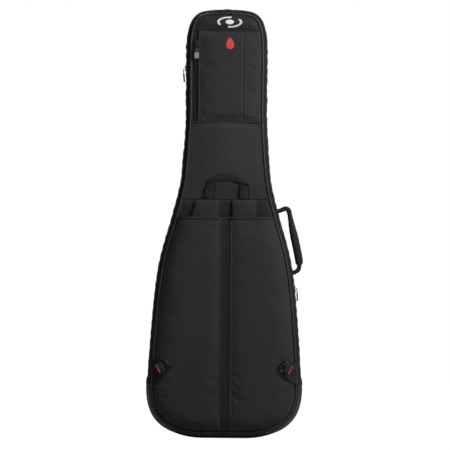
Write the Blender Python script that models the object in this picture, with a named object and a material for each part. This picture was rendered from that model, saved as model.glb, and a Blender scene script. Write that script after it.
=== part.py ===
"""Padded electric-guitar gig bag: rear half, front lid, pockets, handles and hardware.

Dimensions are in millimetres and meshes are built in metres. +Z runs towards the head end,
the rear (strap) side faces -Y and the front lid faces +Y. The main zipper lies in the
plane y = 0 and the bag stands on z = 0.
"""
import math

import bmesh
import bpy
from mathutils import Vector

MM = 0.001

# ---------------------------------------------------------------- driving dimensions
GAP = 0.3                 # clearance between stacked pieces
SEAM_GAP = 0.4            # clearance between neighbours sewn side by side
REAR_Y = -54.0            # outer face of the rear padded panel
FRONT_Y = 50.0            # outer face of the front padded panel
PANEL_T = 12.0            # foam panel thickness
LINING_T = 2.0
REAR_BASE_Y = REAR_Y - GAP        # pieces mounted on the rear panel start here
FRONT_BASE_Y = FRONT_Y + GAP      # pieces mounted on the front panel start here
REAR_INNER_Y = REAR_Y + PANEL_T
FRONT_INNER_Y = FRONT_Y - PANEL_T

# insets are measured inward from the widest outline
PANEL_INSET = 16.0
LINING_INSET = 18.0
PIPE_INSET = 12.5
PIPE_R = 2.4
PIPE_PROUD = 0.5          # piping centre beyond the panel face

FOLD_Z = 135.0            # height of the zipper ends: the lid folds here
FOLD_MARGIN = 2.0         # pieces stop this far above or below the fold
POCKET_TOP = 546.0        # mouth of the stow pocket
YOKE_TOP = 590.0          # seam where the shoulder straps are sewn in
SIDES = (("left", -1), ("right", 1))      # name suffix, sign of x

# right half of the widest outline, bottom to head centre (x, z)
HALF_OUTLINE = [
    (50, 2.7), (75, 4.2), (99, 8.5), (124, 16.5), (144, 26), (162, 40), (176, 58.5),
    (185, 81), (189.3, 106), (190.5, 135), (189.5, 165), (187, 205), (184, 250),
    (180.5, 295), (177, 335), (173.3, 370), (168.8, 405), (163, 438), (157, 465),
    (150.3, 490), (143, 515), (135.5, 540), (128.5, 566), (122, 590), (116, 616),
    (111.5, 642), (107.5, 685), (104, 730), (101.5, 775), (100.5, 820), (101, 880),
    (101.5, 935), (100.3, 980), (97, 1006), (91, 1027), (82, 1042), (69, 1052),
    (52, 1057.2), (30, 1059.6), (0, 1060)]
FLAT_BOTTOM = [(0.0, HALF_OUTLINE[0][1]), (25.0, HALF_OUTLINE[0][1])]
SPLINE_STEPS = 10         # points per outline segment
BEND_WEIGHT = 70.0        # mm of path length that one radian of bend counts for

for old in list(bpy.data.objects):
    bpy.data.objects.remove(old, do_unlink=True)


# ---------------------------------------------------------------- materials
def material(name, color, roughness, metallic):
    mat = bpy.data.materials.new(name)
    mat.use_nodes = True
    shader = mat.node_tree.nodes["Principled BSDF"]
    shader.inputs["Base Color"].default_value = (*color, 1.0)
    shader.inputs["Roughness"].default_value = roughness
    shader.inputs["Metallic"].default_value = metallic
    mat.diffuse_color = (*color, 1.0)
    return mat


# linear RGB base colour, roughness, metallic
PALETTE = {
    "nylon": ((0.030, 0.032, 0.034), 0.85, 0.0),
    "ripstop": ((0.022, 0.023, 0.025), 0.80, 0.0),
    "piping": ((0.050, 0.052, 0.055), 0.55, 0.0),
    "scuff_rubber": ((0.020, 0.021, 0.022), 0.60, 0.0),
    "zip_tape": ((0.010, 0.010, 0.011), 0.70, 0.0),
    "webbing": ((0.014, 0.014, 0.016), 0.80, 0.0),
    "mesh_pad": ((0.018, 0.019, 0.021), 0.95, 0.0),
    "lining": ((0.060, 0.062, 0.066), 0.95, 0.0),
    "foam_cover": ((0.045, 0.047, 0.050), 0.95, 0.0),
    "rain_nylon": ((0.55, 0.035, 0.045), 0.55, 0.0),
    "slider_metal": ((0.030, 0.030, 0.033), 0.35, 1.0),
    "pull_rubber": ((0.22, 0.225, 0.23), 0.60, 0.0),
    "hardware": ((0.012, 0.012, 0.013), 0.35, 0.0),
    "ring_metal": ((0.10, 0.10, 0.105), 0.30, 1.0),
}
MATERIALS = {key: material("mat_" + key, *values) for key, values in PALETTE.items()}


# ---------------------------------------------------------------- curves in the x-z plane
def smooth_outline(points):
    """Catmull-Rom curve; past the last point it continues as its mirror image in x."""
    out = []
    padded = [points[0]] + points + [(-points[-2][0], points[-2][1])]
    for before, start, end, after in zip(padded, padded[1:], padded[2:], padded[3:]):
        for k in range(SPLINE_STEPS):
            t = k / SPLINE_STEPS
            out.append(tuple(
                0.5 * ((2 * b) + (c - a) * t + (2 * a - 5 * b + 4 * c - d) * t * t
                       + (3 * b - a - 3 * c + d) * t ** 3)
                for a, b, c, d in zip(before, start, end, after)))
    out.append(points[-1])
    return out


def path_frames(path, closed):
    """(x, z, miter_x, miter_z) per point; the mitre points to the right of travel."""
    out = []
    count = len(path)
    for i, here in enumerate(path):
        before = path[i - 1] if closed or i else here
        after = path[(i + 1) % count] if closed or i < count - 1 else here
        normals = []
        for start, end in ((before, here), (here, after)):
            dx, dz = end[0] - start[0], end[1] - start[1]
            length = math.hypot(dx, dz)
            if length > 1e-9:
                normals.append((dz / length, -dx / length))
        first, last = normals[0], normals[-1]
        mx, mz = first[0] + last[0], first[1] + last[1]
        length = math.hypot(mx, mz)
        mx, mz = mx / length, mz / length
        stretch = 1.0 / max(0.5, mx * first[0] + mz * first[1])
        out.append((here[0], here[1], mx * stretch, mz * stretch))
    return out


def cut(curve, z_low=None, z_high=None, x_min=None):
    """Part of a right-hand curve between two heights and outside x_min."""
    for axis, level, keep_above in ((1, z_low, True), (1, z_high, False), (0, x_min, True)):
        if level is None:
            continue
        out = []
        for a, b in zip(curve, curve[1:]):
            a_inside = (a[axis] >= level) == keep_above
            b_inside = (b[axis] >= level) == keep_above
            if a_inside and not out:
                out.append(a)
            if a_inside != b_inside:
                t = (level - a[axis]) / (b[axis] - a[axis])
                out.append(tuple(p + (q - p) * t for p, q in zip(a, b)))
            if b_inside:
                out.append(b)
            if a_inside and not b_inside:
                break
        curve = out
    return curve


def resample(curve, count):
    """count points along a polyline, closer together where it bends."""
    weights = []
    for i, (a, b) in enumerate(zip(curve, curve[1:])):
        bend = 0.0
        if i > 0:
            before = curve[i - 1]
            angle_in = math.atan2(a[1] - before[1], a[0] - before[0])
            angle_out = math.atan2(b[1] - a[1], b[0] - a[0])
            bend = abs((angle_out - angle_in + math.pi) % (2 * math.pi) - math.pi)
        weights.append(math.hypot(b[0] - a[0], b[1] - a[1]) + BEND_WEIGHT * bend)
    total = sum(weights)
    out, passed, j = [curve[0]], 0.0, 0
    for k in range(1, count - 1):
        target = total * k / (count - 1)
        while passed + weights[j] < target:
            passed += weights[j]
            j += 1
        t = (target - passed) / weights[j]
        a, b = curve[j], curve[j + 1]
        out.append((a[0] + (b[0] - a[0]) * t, a[1] + (b[1] - a[1]) * t))
    out.append(curve[-1])
    return out


def mirrored(points):
    return [(-x, z) for x, z in reversed(points)]


# stations shared by every piece that follows the outline, so their edges stay parallel
OUTLINE = FLAT_BOTTOM + smooth_outline(HALF_OUTLINE)
LOWER_RIGHT = resample(cut(OUTLINE, z_high=FOLD_Z - FOLD_MARGIN), 14)
UPPER_RIGHT = resample(cut(OUTLINE, z_low=FOLD_Z + FOLD_MARGIN), 25)
RIGHT = LOWER_RIGHT + UPPER_RIGHT
RING_PATH = RIGHT + mirrored(RIGHT)[1:-1]                   # whole outline
UPPER_PATH = UPPER_RIGHT + mirrored(UPPER_RIGHT)[1:]        # over the head, above the fold
LOWER_PATH = mirrored(LOWER_RIGHT)[:-1] + LOWER_RIGHT       # round the bottom, below the fold
RIGHT_FRAMES = path_frames(RING_PATH, True)[:len(RIGHT)]


def inset_curve(inset):
    """Right-hand half of the outline moved inward, bottom centre to head centre."""
    return [(x - mx * inset, z - mz * inset) for x, z, mx, mz in RIGHT_FRAMES]


def outline_loop(inset, z_low=None, z_high=None, count=None):
    """Closed loop: the inset outline, cut to a height band."""
    right = cut(inset_curve(inset), z_low, z_high)
    if count:
        right = resample(right, count)
    left = mirrored(right)
    if right[-1][0] < 1e-6:
        left = left[1:]
    if right[0][0] < 1e-6:
        left = left[:-1]
    return right + left


def rect(x0, x1, z0, z1, chamfer=0.0):
    if chamfer == 0:
        return [(x0, z0), (x1, z0), (x1, z1), (x0, z1)]
    return [(x0 + chamfer, z0), (x1 - chamfer, z0), (x1, z0 + chamfer), (x1, z1 - chamfer),
            (x1 - chamfer, z1), (x0 + chamfer, z1), (x0, z1 - chamfer), (x0, z0 + chamfer)]


def rect8(a0, a1, b0, b1):
    """Rectangle with mid-side points, to pair with an eight-point section."""
    a_mid, b_mid = (a0 + a1) / 2, (b0 + b1) / 2
    return [(a1, b_mid), (a1, b1), (a_mid, b1), (a0, b1),
            (a0, b_mid), (a0, b0), (a_mid, b0), (a1, b0)]


def polygon(radius, out=0.0, depth=0.0, sides=6, turn=0.5):
    """Regular polygon about (out, depth), turned by a fraction of one side."""
    angles = [2 * math.pi * (k + turn) / sides for k in range(sides)]
    return [(out + radius * math.cos(a), depth + radius * math.sin(a)) for a in angles]


# ---------------------------------------------------------------- mesh helpers (inputs in mm)
def add_ring(bm, points):
    return [bm.verts.new((x * MM, y * MM, z * MM)) for x, y, z in points]


def bridge(bm, a, b, closed=True):
    count = len(a)
    for i in range(count if closed else count - 1):
        j = (i + 1) % count
        bm.faces.new((a[i], a[j], b[j], b[i]))


def finish(name, bm, slot, smooth=False):
    bmesh.ops.remove_doubles(bm, verts=bm.verts, dist=1e-5)
    bmesh.ops.recalc_face_normals(bm, faces=bm.faces)
    mesh = bpy.data.meshes.new(name)
    bm.to_mesh(mesh)
    bm.free()
    obj = bpy.data.objects.new(name, mesh)
    bpy.context.scene.collection.objects.link(obj)
    mesh.materials.append(MATERIALS[slot])
    if smooth:
        for poly in mesh.polygons:
            poly.use_smooth = True


def loft(name, slot, sections):
    """Solid through matching loops of (x, y, z) points, with capped ends."""
    bm = bmesh.new()
    rings = [add_ring(bm, points) for points in sections]
    for a, b in zip(rings, rings[1:]):
        bridge(bm, a, b)
    bm.faces.new(rings[0])
    bm.faces.new(rings[-1])
    finish(name, bm, slot)


def at_depth(loop, y):
    return [(x, y, z) for x, z in loop]


def plate(name, slot, loop, y0, y1):
    """Flat piece: one x-z loop carried from y0 to y1."""
    loft(name, slot, [at_depth(loop, y0), at_depth(loop, y1)])


def pad(name, slot, extents, y_base, y_top, chamfer, crown):
    """Soft block over extents (x0, x1, z0, z1) with a crowned face at y_top."""
    x0, x1, z0, z1 = extents
    foot = rect(x0, x1, z0, z1, chamfer)
    face = rect(x0 + crown, x1 - crown, z0 + crown, z1 - crown, chamfer)
    y_edge = y_top - math.copysign(crown, y_top - y_base)
    loft(name, slot, [at_depth(foot, y_base), at_depth(foot, y_edge), at_depth(face, y_top)])


def box(name, slot, low, high, chamfer=0.0):
    """Block between two corners, chamfered along the edges of its longest direction."""
    axis = max(range(3), key=lambda k: high[k] - low[k])
    u, v = [k for k in range(3) if k != axis]
    sections = []
    for level in (low[axis], high[axis]):
        section = []
        for a, b in rect(low[u], high[u], low[v], high[v], chamfer):
            point = [level] * 3
            point[u], point[v] = a, b
            section.append(point)
        sections.append(section)
    loft(name, slot, sections)


def tray(name, loop_at, outer, inner, mouth=False):
    """Nylon pocket shell: outer and inner skins joined at the rim.

    Skins are rows (inset, edge step, y), rim first; loop_at(inset, step) gives a row's loop.
    mouth leaves the closing edge of the loops open between the skins.
    """
    bm = bmesh.new()
    skins = [[add_ring(bm, at_depth(loop_at(inset, step), y)) for inset, step, y in rows]
             for rows in (outer, inner)]
    for rings in skins:
        for a, b in zip(rings, rings[1:]):
            bridge(bm, a, b, closed=not mouth)
        bm.faces.new(rings[-1])
    o, i = skins
    bridge(bm, o[0], i[0], closed=not mouth)
    if mouth:
        for end in (0, -1):
            for k in range(len(o) - 1):
                bm.faces.new((o[k][end], o[k + 1][end], i[k + 1][end], i[k][end]))
        bm.faces.new((o[-1][0], o[-1][-1], i[-1][-1], i[-1][0]))
    finish(name, bm, "nylon")


BAG_FRAME = ((0, 0, 0), (1, 0, 0), (0, 0, 1), (0, 1, 0))


def sweep(name, slot, path, section, closed=False, hole=None, frame=BAG_FRAME,
          smooth=False, taper=None, taper_centre=0.0):
    """Carry a section (out, depth) along a planar path; out is to the right of travel.

    frame: origin, the path plane's two directions, the depth direction.
    taper: one factor per path point, narrowing the depth about taper_centre.
    """
    origin, x_dir, z_dir, depth_dir = (Vector(v) for v in frame)
    stations = path_frames(path, closed)
    factors = taper or [1.0] * len(stations)
    bm = bmesh.new()
    skins = []
    for profile in (section, hole) if hole else (section,):
        rings = []
        for (x, z, mx, mz), factor in zip(stations, factors):
            rings.append(add_ring(bm, [
                origin + x_dir * (x + mx * out) + z_dir * (z + mz * out)
                + depth_dir * (taper_centre + (depth - taper_centre) * factor)
                for out, depth in profile]))
        for a, b in zip(rings, rings[1:] + (rings[:1] if closed else [])):
            bridge(bm, a, b)
        skins.append(rings)
    if not closed:
        for end in (0, -1):
            if hole:
                bridge(bm, skins[0][end], skins[1][end])
            else:
                bm.faces.new(skins[0][end])
    finish(name, bm, slot, smooth)


# ---------------------------------------------------------------- gusset wall and main zipper
WALL_T = 8.0
WALL_SEAM_INSET = PANEL_INSET - 0.4
LIP_INSET = 10.2          # outer corner beside the piping
LIP_DROP = 2.4            # lip below the panel face
SHOULDER_INSET = 2.5
REAR_SHOULDER_Y = -36
FRONT_SHOULDER_Y = 32
ZIP_HALF_W = 8.0
WALL_EDGE_Y = ZIP_HALF_W + GAP    # wall edge beside the zipper
BOTTOM_FLAT_Y = 10                # half width of the flat part of the bottom wall


def wall_skins(panel_y, shoulder_y, edge_y):
    """Outer skin from panel to edge, inner skin from edge to panel, as (out, y)."""
    inward = -math.copysign(1, panel_y)
    lip_y = panel_y + inward * LIP_DROP
    outer = [(-WALL_SEAM_INSET, lip_y), (-LIP_INSET, lip_y),
             (-SHOULDER_INSET, shoulder_y), (0, edge_y)]
    inner = [(-WALL_T, edge_y), (-SHOULDER_INSET - WALL_T, shoulder_y),
             (-WALL_SEAM_INSET, panel_y + inward * PANEL_T)]
    return outer, inner


def gussets():
    outer, inner = wall_skins(REAR_Y, REAR_SHOULDER_Y, -WALL_EDGE_Y)
    sweep("rear_gusset", "nylon", UPPER_PATH, outer + inner)
    outer, inner = wall_skins(FRONT_Y, FRONT_SHOULDER_Y, WALL_EDGE_Y)
    sweep("front_gusset", "nylon", UPPER_PATH, outer[::-1] + inner[::-1])

    rear_outer, rear_inner = wall_skins(REAR_Y, REAR_SHOULDER_Y, -BOTTOM_FLAT_Y)
    front_outer, front_inner = wall_skins(FRONT_Y, FRONT_SHOULDER_Y, BOTTOM_FLAT_Y)
    sweep("bottom_gusset", "nylon", LOWER_PATH,
          rear_outer + front_outer[::-1] + front_inner[::-1] + rear_inner)


gussets()
for half, sign in (("rear", -1), ("front", 1)):
    zip_half = [(-2.5, ZIP_HALF_W), (-2.5, 2.2), (-1.2, 2.2),
                (-1.2, GAP), (-4.5, GAP), (-4.5, ZIP_HALF_W)]
    sweep("main_zip_half_" + half, "zip_tape", UPPER_PATH, [(out, sign * y) for out, y in zip_half])
sweep("bottom_guard", "scuff_rubber", LOWER_PATH[1:-1],
      [(0.3, -10), (0.3, 10), (-2.2, 32), (0.2, 33), (2.7, 10), (2.7, -10), (0.2, -37),
       (-2.2, -36)])

# ---------------------------------------------------------------- panels, linings and piping
plate("rear_panel", "nylon", outline_loop(PANEL_INSET), REAR_Y, REAR_INNER_Y)
plate("rear_lining", "lining", outline_loop(LINING_INSET),
      REAR_INNER_Y + GAP, REAR_INNER_Y + GAP + LINING_T)
plate("front_panel_lower", "nylon", outline_loop(PANEL_INSET, z_high=FOLD_Z - FOLD_MARGIN),
      FRONT_Y, FRONT_INNER_Y)
plate("front_panel", "nylon", outline_loop(PANEL_INSET, z_low=FOLD_Z + FOLD_MARGIN),
      FRONT_Y, FRONT_INNER_Y)
plate("lid_lining", "lining", outline_loop(LINING_INSET, z_low=FOLD_Z + 6.0),
      FRONT_INNER_Y - GAP, FRONT_INNER_Y - GAP - LINING_T)

REAR_PIPE = polygon(PIPE_R, -PIPE_INSET, REAR_Y - PIPE_PROUD)
FRONT_PIPE = polygon(PIPE_R, -PIPE_INSET, FRONT_Y + PIPE_PROUD)
sweep("rear_piping", "piping", RING_PATH, REAR_PIPE, closed=True, smooth=True)
sweep("front_piping_lower", "piping", LOWER_PATH, FRONT_PIPE, smooth=True)
sweep("front_piping", "piping", UPPER_PATH, FRONT_PIPE, smooth=True)


# ---------------------------------------------------------------- head end of the rear side
def pocket_zip_section(centre, half_width, panel_y):
    """Flat tape on a panel with a raised coil along its middle."""
    outward = math.copysign(1, panel_y)
    base, tape, coil = (panel_y + outward * height for height in (GAP, 2.2, 3.6))
    coil_half = 1.8
    return [(centre - half_width, base), (centre - half_width, tape),
            (centre - coil_half, tape), (centre - coil_half, coil),
            (centre + coil_half, coil), (centre + coil_half, tape),
            (centre + half_width, tape), (centre + half_width, base)]


HEAD_ZIP_X = -75.0
HEAD_ZIP_HALF_W = 5
HEAD_POCKET_Z = (781.0, 1005.0)


def head_pocket_loop(inset, step):
    """Straight edge beside the zipper, then out to the inset outline on the right."""
    x_edge = HEAD_ZIP_X + HEAD_ZIP_HALF_W + SEAM_GAP + step
    band = cut(inset_curve(inset), HEAD_POCKET_Z[0] + step, HEAD_POCKET_Z[1] - step)
    arc = resample(band, 10)
    return [(x_edge, arc[0][1])] + arc + [(x_edge, arc[-1][1])]


loft("head_cap_panel", "nylon", [
    at_depth(outline_loop(16.6, z_low=1007.0), REAR_BASE_Y),
    at_depth(outline_loop(17.4, z_low=1007.6), REAR_Y - 3.6)])
tray("head_pocket_panel", head_pocket_loop,
     outer=[(16.3, 0.0, REAR_BASE_Y), (16.8, 0.5, -58.5), (26.0, 7.0, -63.2)],
     inner=[(18.5, 2.0, REAR_BASE_Y), (18.9, 2.3, -57.8), (26.6, 7.6, -61.6)])
sweep("head_pocket_zip", "zip_tape", [(0, 786), (0, 990)],
      pocket_zip_section(HEAD_ZIP_X, HEAD_ZIP_HALF_W, REAR_Y))
pad("rain_cover", "rain_nylon", (-52, 62, 805, 965), -54.9, -60.8, chamfer=10, crown=2.5)
HEAD_SLIDER = [(-4, -57.9), (-4.6, -60.2), (-2.2, -61.8), (2.2, -61.8), (4.6, -60.2), (4, -57.9)]
sweep("head_zip_slider", "slider_metal", [(0, 968), (0, 971), (0, 977), (0, 980)],
      [(HEAD_ZIP_X + x, y) for x, y in HEAD_SLIDER])
# pull tab (x from the zipper, z): narrow neck above a wider grip
HEAD_PULL = [(-2, 973), (-2, 957), (-6, 954), (-6, 938), (-4, 935.5), (4, 935.5),
             (6, 938), (6, 954), (2, 957), (2, 973)]
plate("head_zip_pull", "pull_rubber", [(HEAD_ZIP_X + x, z) for x, z in HEAD_PULL], -62.2, -66.0)
plate("hang_loop", "webbing", rect(-14, 14, 1045.2, 1056.5, 2.0), -57.5, -59.6)

# ---------------------------------------------------------------- yoke and shoulder straps
STRAP_X = 46.5            # shoulder strap centre line
STRAP_W = 60.0
STRAP_BOTTOM = 190
WEB_Y = -63.2             # middle of the strap webbing and its hardware
WEB_BOTTOM = 90

plate("strap_yoke", "ripstop", outline_loop(20.5, POCKET_TOP + 1.6, YOKE_TOP - 0.6, count=4),
      REAR_BASE_Y, REAR_Y - 1.6)
box("yoke_welt", "webbing", (-101, REAR_Y - 3.2, YOKE_TOP + 0.2),
    (101, REAR_BASE_Y, YOKE_TOP + 4.6), 0.6)

# open hook with a stem above it (x from the strap centre, z)
SNAP_HOOK = [
    (-2.2, 89), (-2.2, 78), (-7.8, 72), (-7.8, 52), (-3, 46), (3, 46), (7.8, 52), (7.8, 58),
    (5.0, 58), (5.0, 53.2), (2, 49.5), (-2, 49.5), (-4.6, 53.2), (-4.6, 70.6), (0, 73.4),
    (5.0, 70.6), (5.0, 66), (7.8, 66), (7.8, 72), (2.2, 78), (2.2, 89)]


def shoulder_strap(side, x):
    pad("shoulder_strap_" + side, "mesh_pad",
        (x - STRAP_W / 2, x + STRAP_W / 2, STRAP_BOTTOM, YOKE_TOP - GAP),
        -56.3, -67.6, chamfer=9, crown=3.5)
    box("strap_webbing_" + side, "webbing",
        (x - 10, WEB_Y - 0.8, WEB_BOTTOM), (x + 10, WEB_Y + 0.8, STRAP_BOTTOM - 0.6))
    sweep("ladder_lock_" + side, "hardware", [(0, 148), (0, 172)],
          rect(x - 14.5, x + 14.5, WEB_Y - 4, WEB_Y + 4),
          hole=rect(x - 10.8, x + 10.8, WEB_Y - 1.5, WEB_Y + 1.5))
    plate("snap_hook_" + side, "ring_metal", [(x + dx, z) for dx, z in SNAP_HOOK],
          WEB_Y - 2.2, WEB_Y + 2.2)


for side, sign in SIDES:
    shoulder_strap(side, sign * STRAP_X)

# ---------------------------------------------------------------- stow pocket on the rear side
SPINE_X = (-10.4, 12.4)   # centre channel between the two pillowed pads
HEM_H = 8
STOW_FACE_Y = -74.0
# skin rows: inset, edge step, y
STOW_OUTER = [(16.3, 0.0, REAR_BASE_Y), (16.8, 0.3, -57.5), (30.0, 2.0, -68.0),
              (50.0, 6.0, STOW_FACE_Y)]
STOW_INNER = [(18.6, 2.0, REAR_BASE_Y), (19.2, 2.2, -57.0), (31.4, 3.6, -66.3),
              (50.6, 6.6, -72.1)]


def stow_pocket(side, sign, spine_edge):
    x_edge = spine_edge + sign * SEAM_GAP

    def loop_at(inset, step):
        curve = cut(inset_curve(inset), z_high=POCKET_TOP, x_min=abs(x_edge) + step)
        arc = [(sign * x, z) for x, z in reversed(resample(curve, 20))]
        return arc + [(x_edge + sign * step, POCKET_TOP)]

    tray("stow_pocket_" + side, loop_at, STOW_OUTER, STOW_INNER, mouth=True)


for (side, sign), spine_edge in zip(SIDES, SPINE_X):
    stow_pocket(side, sign, spine_edge)
box("spine_channel", "ripstop", (SPINE_X[0], -69.0, 20.0),
    (SPINE_X[1], REAR_BASE_Y, POCKET_TOP - HEM_H - SEAM_GAP), 1.5)
box("stow_pocket_hem", "webbing", (-84, -76.2, POCKET_TOP - HEM_H),
    (84, STOW_FACE_Y - GAP, POCKET_TOP), 0.5)

# ---------------------------------------------------------------- lower strap anchors
# right-hand anchor: centre of the ring's straight bar, its direction, and the ring's direction
BAR = Vector((152.3, -78.2, 177.4))
BAR_DIR = Vector((0.468, 0.0, 0.884))
RING_DIR = Vector((-0.884, 0.0, 0.468))
TAB_T = 1.7
TAB_END = BAR - RING_DIR * 3.6
TAB_TOP = TAB_END + BAR_DIR * 12.0
TAB_LOW = TAB_END - BAR_DIR * 12.0
# bent sheet from the piping seam up the pillow to the ring loop: y, top (x, z), low (x, z)
TAB_ROWS = [
    (-58.0, (175.2, 194.0), (176.6, 134.0)),
    (-67.6, (165.0, 189.0), (161.0, 146.0)),
    (-77.4, (TAB_TOP.x, TAB_TOP.z), (TAB_LOW.x, TAB_LOW.z))]
# D outline: (along the bar, away from it)
D_RING = [(-13.5, 0), (13.5, 0), (13.8, 6), (11.0, 12.5), (5.0, 16.6), (-5.0, 16.6),
          (-11.0, 12.5), (-13.8, 6)]


def strap_anchor(side, sign):
    sections = []
    for y, top, low in TAB_ROWS:
        corners = ((top, y), (low, y), (low, y - TAB_T), (top, y - TAB_T))
        sections.append([(sign * x, depth, z) for (x, z), depth in corners])
    loft("anchor_tab_" + side, "nylon", sections)

    bar, bar_dir, ring_dir = ((sign * v.x, v.y, v.z) for v in (BAR, BAR_DIR, RING_DIR))
    frame = (bar, bar_dir, ring_dir, (0, -1, 0))
    sweep("anchor_loop_" + side, "webbing", [(-11.5, 0), (11.5, 0)],
          rect8(-3.2, 3.2, -3.2, 3.2), hole=polygon(2.2, sides=8, turn=0), frame=frame)
    sweep("d_ring_" + side, "ring_metal", D_RING, polygon(1.8), closed=True, frame=frame,
          smooth=True)


for side, sign in SIDES:
    strap_anchor(side, sign)

# ---------------------------------------------------------------- top grab handle
GRAB_HANDLE = [(-55, 596), (-33, 596), (-31, 634), (31, 634), (33, 596), (55, 596),
               (52, 648), (44, 656), (-44, 656), (-52, 648)]
plate("grab_handle_webbing", "webbing", GRAB_HANDLE, -59.8, -58.0)
# the path runs along +X, so out is -z
sweep("grab_handle_wrap", "nylon", [(-30, 0), (-22, 0), (22, 0), (30, 0)],
      [(-629, -60.0), (-630, -55.4), (-645, -54.8), (-661, -55.4), (-663.5, -59.6),
       (-660, -64.0), (-645, -65.4), (-631, -64.6)],
      hole=rect8(-657.2, -632.8, -60.4, -57.4))

# ---------------------------------------------------------------- side carry handle
HANDLE_Y = -22.0
# webbing centre line, bottom to top (x, z, width factor); gathered at both ends
SIDE_HANDLE = [
    (177.8, 413.4, 0.38), (182.4, 419.5, 0.7), (183.6, 431.0, 0.95), (181.2, 446.0, 1),
    (177.4, 465.0, 1), (172.6, 490.0, 1), (167.6, 515.0, 1), (162.6, 540.0, 1),
    (160.0, 556.0, 1), (157.0, 566.0, 1), (149.0, 569.6, 0.94), (139.2, 565.6, 0.38)]
SIDE_PATH = [(x, z) for x, z, _ in SIDE_HANDLE]
for end, base, tip in (("top", (131.8, 562.6), (135.8, 564.0)),
                       ("bottom", (171.3, 411.3), (174.3, 411.8))):
    sweep("side_handle_anchor_" + end, "webbing", [base, tip],
          rect(-2.4, 2.4, HANDLE_Y - 9, HANDLE_Y + 9))
sweep("side_handle_webbing", "webbing", SIDE_PATH,
      rect8(-1.3, 1.3, HANDLE_Y - 6.5, HANDLE_Y + 6.5),
      taper=[factor for _, _, factor in SIDE_HANDLE], taper_centre=HANDLE_Y)
sweep("side_handle_grip", "nylon", [(180.2, 451.0)] + SIDE_PATH[4:8] + [(160.9, 550.5)],
      polygon(9.6, 0, HANDLE_Y, sides=8, turn=0),
      hole=rect8(-1.8, 1.8, HANDLE_Y - 7.0, HANDLE_Y + 7.0), smooth=True)

# ---------------------------------------------------------------- main zipper sliders
SLIDER_HALF_W = 5.6
PULL_HALF_W = 4.5
LEFT_X, LEFT_Z = -101.4, 915.0
box("main_zip_slider_left", "slider_metal", (LEFT_X - 4.4, -SLIDER_HALF_W, LEFT_Z - 8),
    (LEFT_X + 0.7, SLIDER_HALF_W, LEFT_Z + 8), 1.2)
box("main_zip_pull_left", "pull_rubber", (LEFT_X - 7.6, -PULL_HALF_W, LEFT_Z - 35),
    (LEFT_X - 4.8, PULL_HALF_W, LEFT_Z - 2), 0.8)
# the right slider is tilted with the outline: origin, along it, outward, depth
RIGHT_FRAME = ((173.2, 0, 371.0), (-0.114, 0.0, 0.9935), (0.9935, 0.0, 0.114), (0, 1, 0))
sweep("main_zip_slider_right", "slider_metal", [(-8, 0), (8, 0)],
      rect(-3.6, 0.2, -SLIDER_HALF_W, SLIDER_HALF_W), frame=RIGHT_FRAME)
sweep("main_zip_pull_right", "pull_rubber", [(-33, 0), (-1, 0)],
      rect(-6.2, -4.0, -PULL_HALF_W, PULL_HALF_W), frame=RIGHT_FRAME)

# ---------------------------------------------------------------- inside: cradle, strap, end block
CRADLE_Y = REAR_INNER_Y + GAP + LINING_T + GAP
CRADLE_H = 35
# U section (x, height above the lining), open towards the lid
CRADLE = [(-46, 0), (46, 0), (46, CRADLE_H), (28, CRADLE_H), (28, 9.6), (-28, 9.6),
          (-28, CRADLE_H), (-46, CRADLE_H)]
STRAP_BASE_Y = CRADLE_Y + CRADLE_H + GAP
sweep("neck_cradle", "foam_cover", [(0, 600), (0, 680)],
      [(x, CRADLE_Y + height) for x, height in CRADLE])
box("neck_strap", "webbing", (-44, STRAP_BASE_Y, 624), (44, STRAP_BASE_Y + 1.8, 656))
box("end_block", "foam_cover", (-56, -35, 14.6), (56, 31, 37.0), 4.0)

# ---------------------------------------------------------------- pocket on the front lid
FRONT_ZIP_Z = 528.0


def front_pocket_loop(inset, step):
    return outline_loop(inset, 205.0 + step, 518.0 - step, count=9)


tray("front_body_pocket", front_pocket_loop,
     outer=[(26, 0, FRONT_BASE_Y), (26.5, 0.5, 60.0), (38, 12, 74.0)],
     inner=[(28.2, 2.2, FRONT_BASE_Y), (28.6, 2.6, 59.3), (38.6, 12.6, 72.2)])
# the path runs along +X, so out is -z
sweep("front_pocket_zip", "zip_tape", [(-98, 0), (98, 0)],
      pocket_zip_section(-FRONT_ZIP_Z, 6, FRONT_Y))
box("front_zip_slider", "slider_metal", (79, 53.9, FRONT_ZIP_Z - 5),
    (94, 57.8, FRONT_ZIP_Z + 5), 1.0)
box("front_zip_pull", "pull_rubber", (52, 58.2, FRONT_ZIP_Z - PULL_HALF_W),
    (86, 61.0, FRONT_ZIP_Z + PULL_HALF_W), 0.8)
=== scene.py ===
"""Padded instrument bag, standing upright on its wide end and about 1.06 m tall.

Z runs up the bag and X across it. The rear, with the straps and stow pockets, faces -Y;
the opening lid faces +Y. Shapes are written in millimetres and MM turns them into metres.
"""

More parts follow.
